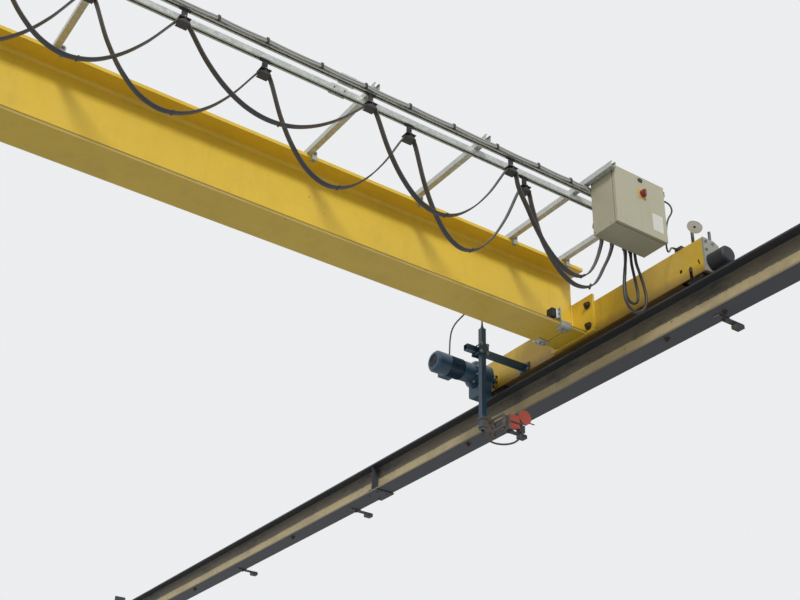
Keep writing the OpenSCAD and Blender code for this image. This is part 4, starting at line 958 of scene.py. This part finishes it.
# The clamps of the festoon's arms, then the trolley's stops on the girder's bottom flange.
ARM_X = [-768, -1589, -2429, -4129, -5829, -7529, -9229, -11229, -279.7]
for x, (dy, z, way, size) in product(ARM_X, (
        (-158.3, 898, SOUTH, 16), (158.3, 898, NORTH, 16),
        (-140, 848.7, DOWN, 13), (140, 848.7, DOWN, 13))):
    bolt(x + 37, MIDDLE + dy, z, way, size)
for (x, side, way), dy in product(((-330, 1, WEST), (-11670, -1, EAST)), (-120, 120)):
    for dx, (z, facing) in product((32, 68), ((317, DOWN), (363, UP))):
        bolt(x + side * dx, MIDDLE + dy, z, facing, 17)
    for z in (386, 424, 458):
        bolt(x, MIDDLE + dy * 1.16, z, way, 9)
    bolt(x, MIDDLE + dy * 0.46, 440, way, 13)

# The signal's stalk, the cabinet's sides, the collector's clamps and bracket.
bolt(-85.5, -1125, 668.6, (-0.5, 0, -0.866), 9, "dark_bolt")
for (x, way), y, z in product(((-743, WEST), (-300, EAST)), (-868, -1016), (503, 902)):
    bolt(x, y, z, way, 6)
for dx, dz, (y, way) in product((-30, 30), (-32, 32), ((602.9, SOUTH), (701.1, NORTH))):
    bolt(-515 + dx, y, 355 + dz, way, 15)
for dy, dz in product((-44, 44), (-22, 22)):
    bolt(-84, 672 + dy, 355 + dz, WEST, 13)

# The inner track's splices, and the carriers' saddles.
for x, dx in product((-2620, -5620, -8620), (-36, 36)):
    bolt(x + dx, INNER_Y - 22.5, 861, SOUTH, 8)
for carriers, y in ((INNER, INNER_Y), (OUTER, OUTER_Y)):
    for x, dy in product(carriers, (-25, 25)):
        bolt(x, y + dy, 763, UP, 10)
print("bridge bolts:", sum(len(spots) for (body, _), spots in BOLTS.items() if body == "bridge"))

# %% Bolts of the runways, and all bolts made
for x, y, dx, dy in product((0, FAR_X), (-5880, 0, 5880), (-50, 50), (-60, 60)):
    bolt(x + dx, y + dy, 23, UP, 30, "dark_bolt", "runway")
for y in range(-3940, 5000, 2200):
    bolt(60, y, 1.7, DOWN, 15, "dark_bolt", "runway")
for x, y in ((-32, -1349), (-28, -3527), (6, -4001), (-32, 1450), (-30, 3600)):
    bolt(x, y, 10, DOWN, 24, "dark_bolt", "runway")
for (body, finish), spots in BOLTS.items():
    grow(f"{body}_{finish}s", point_mesh(spots), BOLT_TREE, finish, body=body)

# %% [markdown]
# ## Fan grilles
#
# A fan cowl breathes through rings of wire on a few straight ribs. Rings and ribs follow a rule,
# so a tree draws them from four numbers: the radius, how many rings, how many ribs and the wire.

# %% Grille tree
def make_grille_tree():
    """Rings and ribs of wire, on every point of the input."""
    tree, given, out = new_group(
        "fan_grille", "Geometry", ["Grille"], Points="Geometry", Finish="Material", Radius=0.05,
        Rings=7, Ribs=8, Wire=0.0011)

    def copies(count, **how):
        """As many copies of a curve as the input called count says."""
        points = add(tree, "GeometryNodePoints", {"Count": given[count]})[0]
        return add(tree, "GeometryNodeInstanceOnPoints", {"Points": points, **how})[0]

    index = add(tree, "GeometryNodeInputIndex")[0]
    radius = calc("DIVIDE", index + 0.7, given["Rings"]) * given["Radius"]
    angle = index * calc("DIVIDE", 2 * math.pi, given["Ribs"])
    reach = add(tree, "ShaderNodeCombineXYZ", {0: given["Radius"]})[0]
    rib = add(tree, "GeometryNodeCurvePrimitiveLine", {"End": reach})[0]
    curves = joined(tree, [
        copies("Rings", Instance=circle(tree, 40, 1.0), Scale=radius),
        copies("Ribs", Instance=rib, Rotation=add(tree, "ShaderNodeCombineXYZ", {2: angle})[0])])
    lines = add(tree, "GeometryNodeRealizeInstances", {0: curves})[0]
    solid = add(tree, "GeometryNodeCurveToMesh", {0: lines, 1: circle(tree, 6, given["Wire"])})[0]
    return finish_tree(tree, given, out, on_points(tree, given["Points"], solid))


COWLS = [((x / 1000, DRIVE_Y / 1000 + BRIDGE_Y, DRIVE_Z / 1000), way, 1.0)
         for x, way in both_sides(-661.5, WEST)]
grow("fan_grilles", point_mesh(COWLS), make_grille_tree(), "dark_plastic", "dark_plastic",
     Radius=0.051, Rings=7, Ribs=8, Wire=0.0011)

# %% [markdown]
# ## Cable clips
#
# The clips that carry the two fixed cables are bent strips: a hook over the track's far edge,
# a flat top, and a long leg round both cables. The strip's outline is drawn once, and a tree sets
# a copy on each clip's place. Small turns, with a fixed seed, keep the row from looking printed.

# %% Clip strip
CLIP_OUTLINE = [(0.0225, -0.006), (0.0225, 0.0015), (-0.0210, 0.0015), (-0.0350, -0.0030),
                (-0.0375, -0.0120), (-0.0375, -0.0330), (-0.0345, -0.0400), (-0.0270, -0.0425),
                (-0.0205, -0.0400)]


def strip_mesh(outline, width, thickness):
    """A strip of metal, bent along an outline in Y and Z and width metres wide in X."""
    rows = []
    for i, (y, z) in enumerate(outline):
        a, b = outline[max(i - 1, 0)], outline[min(i + 1, len(outline) - 1)]
        run = Vector((b[0] - a[0], b[1] - a[1])).normalized()
        off = Vector((-run.y, run.x)) * thickness
        rows.append([(x, y + o.x, z + o.y) for x, o in (
            (-width / 2, Vector((0, 0))), (width / 2, Vector((0, 0))),
            (width / 2, off), (-width / 2, off))])
    return close_rings(rows, smooth=False)


CLIP = strip_mesh(CLIP_OUTLINE, width=0.016, thickness=0.0024)
print("clip strip:", len(CLIP.polygons), "faces")

# %% Row tree
ROW_SEED = 4
LEAST, MOST, NUMBER = 2, 3, 1  # the random node's two inputs and its output for numbers


def make_row_tree():
    """Copies of one part at each point of another mesh, each turned a little by a fixed seed."""
    tree, given, out = new_group(
        "row_of_parts", "Geometry", ["Row"], Part="Geometry", Finish="Material",
        Places="Object", Turn=0.05, Seed=ROW_SEED)
    places = add(tree, "GeometryNodeObjectInfo", {"Object": given["Places"]})["Geometry"]
    spin = add(tree, "FunctionNodeRandomValue", {
        "Seed": given["Seed"], LEAST: given["Turn"] * -1.0, MOST: given["Turn"]},
        data_type="FLOAT")[NUMBER]
    angle = add(tree, "ShaderNodeCombineXYZ", {2: spin})[0]
    turned = add(tree, "FunctionNodeRotateRotation", {
        "Rotation": own_aim(tree), "Rotate By": angle}, rotation_space="LOCAL")[0]
    row = add(tree, "GeometryNodeInstanceOnPoints", {
        "Points": places, "Instance": given["Part"], "Rotation": turned})[0]
    return finish_tree(tree, given, out, row)


ROW_TREE = make_row_tree()
print("tree:", ROW_TREE.name)

# %% Clips in a row, and their screws
def grow_row(name, part, spots, turn=0.0):
    """Sets a copy of the part on every spot; the helper that holds the spots is then removed."""
    holder = in_scene(name + "_places", point_mesh(spots))
    grow(name, part, ROW_TREE, "dark_plastic", "dark_plastic",
         Places=holder, Turn=turn, Seed=ROW_SEED)
    bpy.data.objects.remove(holder)


def clip_spots(y, z, size):
    """A spot over each clip, y millimetres from the bridge and z up."""
    return [((x / 1000, y / 1000 + BRIDGE_Y, z / 1000), UP, size) for x in CLIP_X]


grow_row("track_clips", CLIP, clip_spots(OUTER_Y, 881.5, 1.0), turn=0.06)
grow("clip_screws", point_mesh(clip_spots(OUTER_Y - 6, 885.2, 0.011)), BOLT_TREE, "bolt_zinc")

# %% [markdown]
# Each flat loop has a tie near its lowest point. A tie is a narrow band with a small lock on one
# side. The same row tree sets it on the cable, aimed along the cable's run at that place.

# %% Ties on the flat cables
NEAR, BEFORE = 12, 5  # points of the line: how many count as near, and how far back a tie sits
LOOP_TOP = 0.45  # lower than this, a line is in a loop
LOCK_BOX = (0.008, 0.006)


def add_box(build, centre, size):
    """Adds a box to a bmesh and returns its corners."""
    made = bmesh.ops.create_cube(build, size=1.0)["verts"]
    bmesh.ops.transform(build, verts=made, matrix=Matrix.Translation(centre) @
                        Matrix.Diagonal((*size, 1)))
    return made


def band_mesh(width, depth, wall, height):
    """A band round a width in X and a depth in Y, with its lock box on one short side."""
    build = bmesh.new()
    for side in (1, -1):
        add_box(build, (0, side * (depth + wall) / 2, 0), (width + 2 * wall, wall, height))
    for side in (1, -1):
        add_box(build, (side * (width + wall) / 2, 0, 0), (wall, depth, height))
    add_box(build, (0, depth / 2 + wall + LOCK_BOX[1] / 2, 0), (*LOCK_BOX, height))
    return finished(build)


def low_points(line):
    """Spots a little before each place where a line is lower than everything near it."""
    spots = []
    for i in range(NEAR, len(line) - NEAR):
        lowest = min(p.z for p in line[i - NEAR:i + NEAR + 1])
        if line[i].z == lowest and lowest < LOOP_TOP:
            spot = i - BEFORE
            spots.append((line[spot], (line[spot + 1] - line[spot - 1]).normalized(), 1.0))
    return spots


tie_spots = low_points(CABLE_LINES["festoon_cable_inner"])
tie_spots += low_points(CABLE_LINES["festoon_cable_outer"])
grow_row("cable_ties", band_mesh(0.0096, 0.0368, wall=0.0014, height=0.008), tie_spots)
print("ties:", len(tie_spots))

# %% [markdown]
# ## Glands and strain reliefs
#
# Where a cable enters a box, a gland nut squeezes a seal round it and a tapered sleeve keeps it
# from kinking. The nut is a tree's hexagon on a point behind the cable's end. The sleeve follows
# the cable's own line for a few centimetres and thins out, so it is swept like the cable.

# %% Gland nuts and sleeves
SLEEVE, SLEEVE_STEP, SLEEVE_SIDES = 0.030, 0.006, 14
WALL_AT_NUT, WALL_AT_TIP = 0.0028, 0.0006
THICK_CABLE, WIDE_NUT, SMALL_NUT = 0.020, 0.032, 0.024


def sleeve_mesh(line, reach, wide, narrow):
    """A tapered sleeve round the first part of a line; wide and narrow are its radii."""
    part = line[:next(i for i, gone in enumerate(distances(line)) if gone >= reach) + 1]
    rings = []
    for k, ring in enumerate(rings_along(part, round_section(2.0, SLEEVE_SIDES))):
        radius = wide + (narrow - wide) * (k / (len(part) - 1))
        rings.append([part[k] + (p - part[k]) * radius for p in ring])
    return close_rings(rings)


nut_spots = []
for name, (_, diameter, _, _, _) in CABLES.items():
    if name.startswith("festoon"):
        continue
    line = smooth_line(CABLE_LINES[name], SLEEVE_STEP)
    ends = {"start": line} if name.startswith("track") else {"start": line, "end": line[::-1]}
    for tag, run in ends.items():
        nut = WIDE_NUT if diameter == THICK_CABLE else SMALL_NUT
        nut_spots.append((run[0], (run[1] - run[0]).normalized(), nut))
        sleeve = sleeve_mesh(run, SLEEVE, diameter / 2 + WALL_AT_NUT,
                             diameter / 2 + WALL_AT_TIP)
        add_piece(f"{name}_sleeve_{tag}", sleeve, "dark_plastic", "dark_plastic")
grow("gland_nuts", point_mesh(nut_spots), NUT_TREE, "dark_plastic", "dark_plastic")

# %% [markdown]
# ## Door lock, plain patch and trolley stops
#
# The lock is an oval housing with a recessed quarter-turn in it, near the door's top edge. The
# patch beside the lower corner is a bare plate with rounded corners: nothing is written on it.
# Each trolley stop has a box-shaped rubber on a pale block, and jaws that grip the girder's
# flange. They are plain blocks with rounded edges, so one helper bevels a list of boxes.

# %% Lock and patch, as stacked plates with rounded corners
DOOR_Y = -1.077 + BRIDGE_Y
OVAL, WELL, SHEET = (0.040, 0.028, 0.0139), (0.026, 0.016, 0.0079), (0.092, 0.132, 0.006)
DOOR_PLATES = {  # name: (finish, slot, x, z, [(width, height, corner, distance out of the door)])
    "door_lock": ("lock_black", "dark_plastic", -0.514, 0.891, [
        (*OVAL, 0.0), (*OVAL, 0.004), (0.036, 0.024, 0.0119, 0.006), (*WELL, 0.006),
        (*WELL, 0.003)]),
    "lock_turn": ("bolt_zinc", "galvanised", -0.514, 0.891, [
        (0.010, 0.004, 0.0019, 0.003), (0.009, 0.003, 0.0014, 0.005)]),
    "bare_patch": ("bare_patch", "cabinet_paint", -0.378, 0.604, [
        (*SHEET, 0.0), (*SHEET, 0.0006), (0.0908, 0.1308, 0.0054, 0.0010)]),
}


def rounded_outline(width, height, corner, steps=6):
    """A rectangle in X and Z with rounded corners, counted round."""
    points = []
    for cx, cz, first in ((1, 1, 0), (-1, 1, 90), (-1, -1, 180), (1, -1, 270)):
        for i in range(steps + 1):
            a = math.radians(first + 90 * i / steps)
            points.append((cx * (width / 2 - corner) + corner * math.cos(a),
                           cz * (height / 2 - corner) + corner * math.sin(a)))
    return points


for name, (finish, slot, x, z, levels) in DOOR_PLATES.items():
    plate = close_rings([[(x + dx, DOOR_Y - out, z + dz) for dx, dz in rounded_outline(*shape)]
                         for *shape, out in levels], smooth=False)
    add_piece(name, plate, finish, slot, "door")
print("plates on the door:", ", ".join(DOOR_PLATES))

# %% Blocks with rounded edges: trolley stops, seams in the flange, folds of the cabinet
# The cabinet's sheet is folded back a hand's width behind the door, which shows as a low ridge.
GIRDER_Y = -2680  # the girder's middle, where the bridge stands at rest


def rounded_blocks(blocks, radius):
    """A mesh of separate blocks with rounded edges; a block is its two opposite corners in mm."""
    build = bmesh.new()
    for low, high in blocks:
        made = add_box(build, [(a + b) / 2000 for a, b in zip(low, high)],
                       [abs(b - a) / 1000 for a, b in zip(low, high)])
        edges = list({edge for vert in made for edge in vert.link_edges})
        bmesh.ops.bevel(build, geom=edges, offset=radius, offset_type="OFFSET", segments=3,
                        profile=0.6, affect="EDGES", clamp_overlap=True)
    return finished(build)


rubbers, pads, jaws = [], [], []
for (x, out), side in product(((-330, -1), (-11670, 1)), (-1, 1)):
    y, edge = GIRDER_Y + side * 100, GIRDER_Y + side * 150
    pads.append(((x, y - 30, 391), (x + out * 21, y + 30, 459)))
    rubbers.append(((x + out * 20, y - 31, 388), (x + out * 62, y + 31, 462)))
    jaws.append(((x, edge - side * 62, 317), (x - out * 90, edge + side * 12, 331)))
    jaws.append(((x, edge, 329), (x - out * 90, edge + side * 12, 364)))
    jaws.append(((x - out * 12, edge - side * 40, 309), (x - out * 78, edge - side * 20, 318)))
seams = [((x - 2, GIRDER_Y - 149, 330), (x + 2, GIRDER_Y + 149, 331.8)) for x in (-244, -11756)]
folds = [((x - 0.9, -3829, 487), (x + 0.9, -3825, 918)) for x in (-743.4, -299.6)]
for name, blocks, radius, finish, slot in (
        ("stop_rubbers", rubbers, 0.006, "black_rubber", "black_rubber"),
        ("stop_pads", pads, 0.003, "signal_white", "signal_white"),
        ("stop_jaws", jaws, 0.003, "galvanised", "galvanised"),
        ("flange_seams", seams, 0.0004, "dark_bolt", "crane_yellow"),
        ("cabinet_folds", folds, 0.0005, "cabinet_paint", "cabinet_paint")):
    piece = add_piece(name, rounded_blocks(blocks, radius), finish, slot)
    if name == "stop_rubbers":
        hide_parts("trolley_stop_rubbers")
    print(f"{name}: {len(blocks)} blocks")

# %% [markdown]
# ## Welds
#
# A fillet weld is a low rope of metal with ripples where each drop froze. A tree resamples the
# line of the joint every few millimetres, swells and thins the radius in turn, and carries a
# small circle along it. Joints that the paint covers take the paint's own finish.

# %% Weld tree
def make_weld_tree():
    """Rippled bead along every edge of the input."""
    tree, given, out = new_group(
        "weld_beads", "Geometry", ["Beads"], Joints="Geometry", Finish="Material",
        Radius=0.005, Ripple=0.007)
    line = add(tree, "GeometryNodeMeshToCurve", {0: given["Joints"]})[0]
    steps = add(tree, "GeometryNodeResampleCurve", {
        "Curve": line, "Length": given["Ripple"]}, mode="LENGTH")[0]
    index = add(tree, "GeometryNodeInputIndex")[0]
    wave = calc("PINGPONG", index, 1.0) * 0.28 + 0.86
    swollen = add(tree, "GeometryNodeSetCurveRadius", {
        "Curve": steps, "Radius": wave * given["Radius"]})[0]
    bead = add(tree, "GeometryNodeCurveToMesh", {
        0: swollen, 1: circle(tree, 6, 1.0), "Fill Caps": True})
    if "Scale" in bead.node.inputs:
        bead.feed({"Scale": add(tree, "GeometryNodeInputRadius")[0]})
    soft = add(tree, "GeometryNodeSetShadeSmooth", {0: bead[0]})[0]
    return finish_tree(tree, given, out, soft)


WELD_TREE = make_weld_tree()
print("tree:", WELD_TREE.name)

# %% The joints that the beads follow
PLATE_X, FLANGE_Z = -94.5, 330.5  # the head plate's face, and under the bottom flange


def joint_mesh(joints):
    """A mesh of bare edges; a joint is two ends in millimetres."""
    mesh = bpy.data.meshes.new("joints")
    points = [(x / 1000, y / 1000, z / 1000) for joint in joints for x, y, z in joint]
    mesh.from_pydata(points, [(i, i + 1) for i in range(0, len(points), 2)], [])
    return mesh


girder = []
for side in (-1, 1):
    web, tip = GIRDER_Y + side * 6.25 + side * 4, GIRDER_Y + side * 150
    girder += [((PLATE_X, web, 382), (PLATE_X, web, 631)),
               ((PLATE_X, GIRDER_Y + side * 30, 356), (PLATE_X, tip, 356)),
               ((PLATE_X, tip, 333), (PLATE_X, tip, 354))]
for x, reach in ((PLATE_X, 150), (-236, 149)):
    girder.append(((x, GIRDER_Y - reach, FLANGE_Z), (x, GIRDER_Y + reach, FLANGE_Z)))
girder += [tuple((FAR_X - x, y, z) for x, y, z in joint) for joint in girder]
grow("girder_welds", joint_mesh(girder), WELD_TREE, "crane_yellow", "crane_yellow",
     Radius=0.0055, Ripple=0.007)
runway = []
for x in (0, FAR_X):
    for y, side in product(range(-5850, 5900, 300), (-25, 25)):
        runway.append(((x + side, y - 45, 266), (x + side, y + 45, 266)))
    for y, side, face in product((-5880, 0, 5880), (-4.5, 4.5), (-4.5, 4.5)):
        runway.append(((x + side, y + face, 46), (x + side, y + face, 229)))
grow("runway_welds", joint_mesh(runway), WELD_TREE, "runway_steel", "runway_steel", "runway",
     Radius=0.0045, Ripple=0.009)

# %% [markdown]
# ## Studio
#
# A pale floor lies well below the crane, a broad sun-like lamp stands high on the south-west
# side, and the world lights the rest. The world and floor show a pale backdrop to the camera and
# to shiny metal, but light the crane less, so its undersides stay darker than its web, as a real
# crane's do.

# %% Floor
FLOOR_HALF, FLOOR_MIDDLE = 60.0, (-6.0, 0.0, -5.4)


def make_floor():
    """A wide pale floor that keeps the crane's shadow."""
    build = bmesh.new()
    bmesh.ops.create_grid(build, x_segments=8, y_segments=8, size=FLOOR_HALF)
    mesh = bpy.data.meshes.new("studio_floor")
    build.to_mesh(mesh)
    build.free()
    mesh.transform(Matrix.Translation(FLOOR_MIDDLE))
    tree, shader = start_finish("studio_floor")
    seen = add(tree, "ShaderNodeLightPath")
    looked_at = calc("MAXIMUM", seen["Is Camera Ray"], seen["Is Glossy Ray"])
    shader.feed({"Base Color": mix(looked_at, (0.42, 0.42, 0.41, 1), (0.8, 0.8, 0.79, 1)),
                 "Roughness": 0.9})
    mesh.materials.append(FINISH["studio_floor"])
    in_scene("studio_floor", mesh)
    print("floor at", mesh.vertices[0].co.z)


make_floor()

# %% World and lamp
LAMP_STRENGTH, LAMP_ANGLE, TO_LAMP = 1.85, math.radians(14), Vector((-0.42, -0.74, 0.55))


def make_world():
    """Pale for the eye and for reflections, softer as a light."""
    world = bpy.data.worlds.new("studio_world")
    bpy.context.scene.world = world
    world.use_nodes = True
    tree = world.node_tree
    seen = add(tree, "ShaderNodeLightPath")
    looked_at = calc("MAXIMUM", seen["Is Camera Ray"], calc(
        "MAXIMUM", seen["Is Glossy Ray"], seen["Is Transmission Ray"]))
    Node(tree.nodes["Background"]).feed({
        "Color": mix(looked_at, (0.52, 0.53, 0.55, 1), (0.84, 0.85, 0.86, 1)), "Strength": 1.0})


make_world()
lamp = in_scene("studio_key", bpy.data.lights.new("studio_key", "SUN"))
lamp.data.energy, lamp.data.angle = LAMP_STRENGTH, LAMP_ANGLE
lamp.rotation_euler = TO_LAMP.to_track_quat("Z", "Y").to_euler()
bpy.context.scene.view_settings.view_transform = "Standard"
print("lamp", lamp.data.energy, "world set")
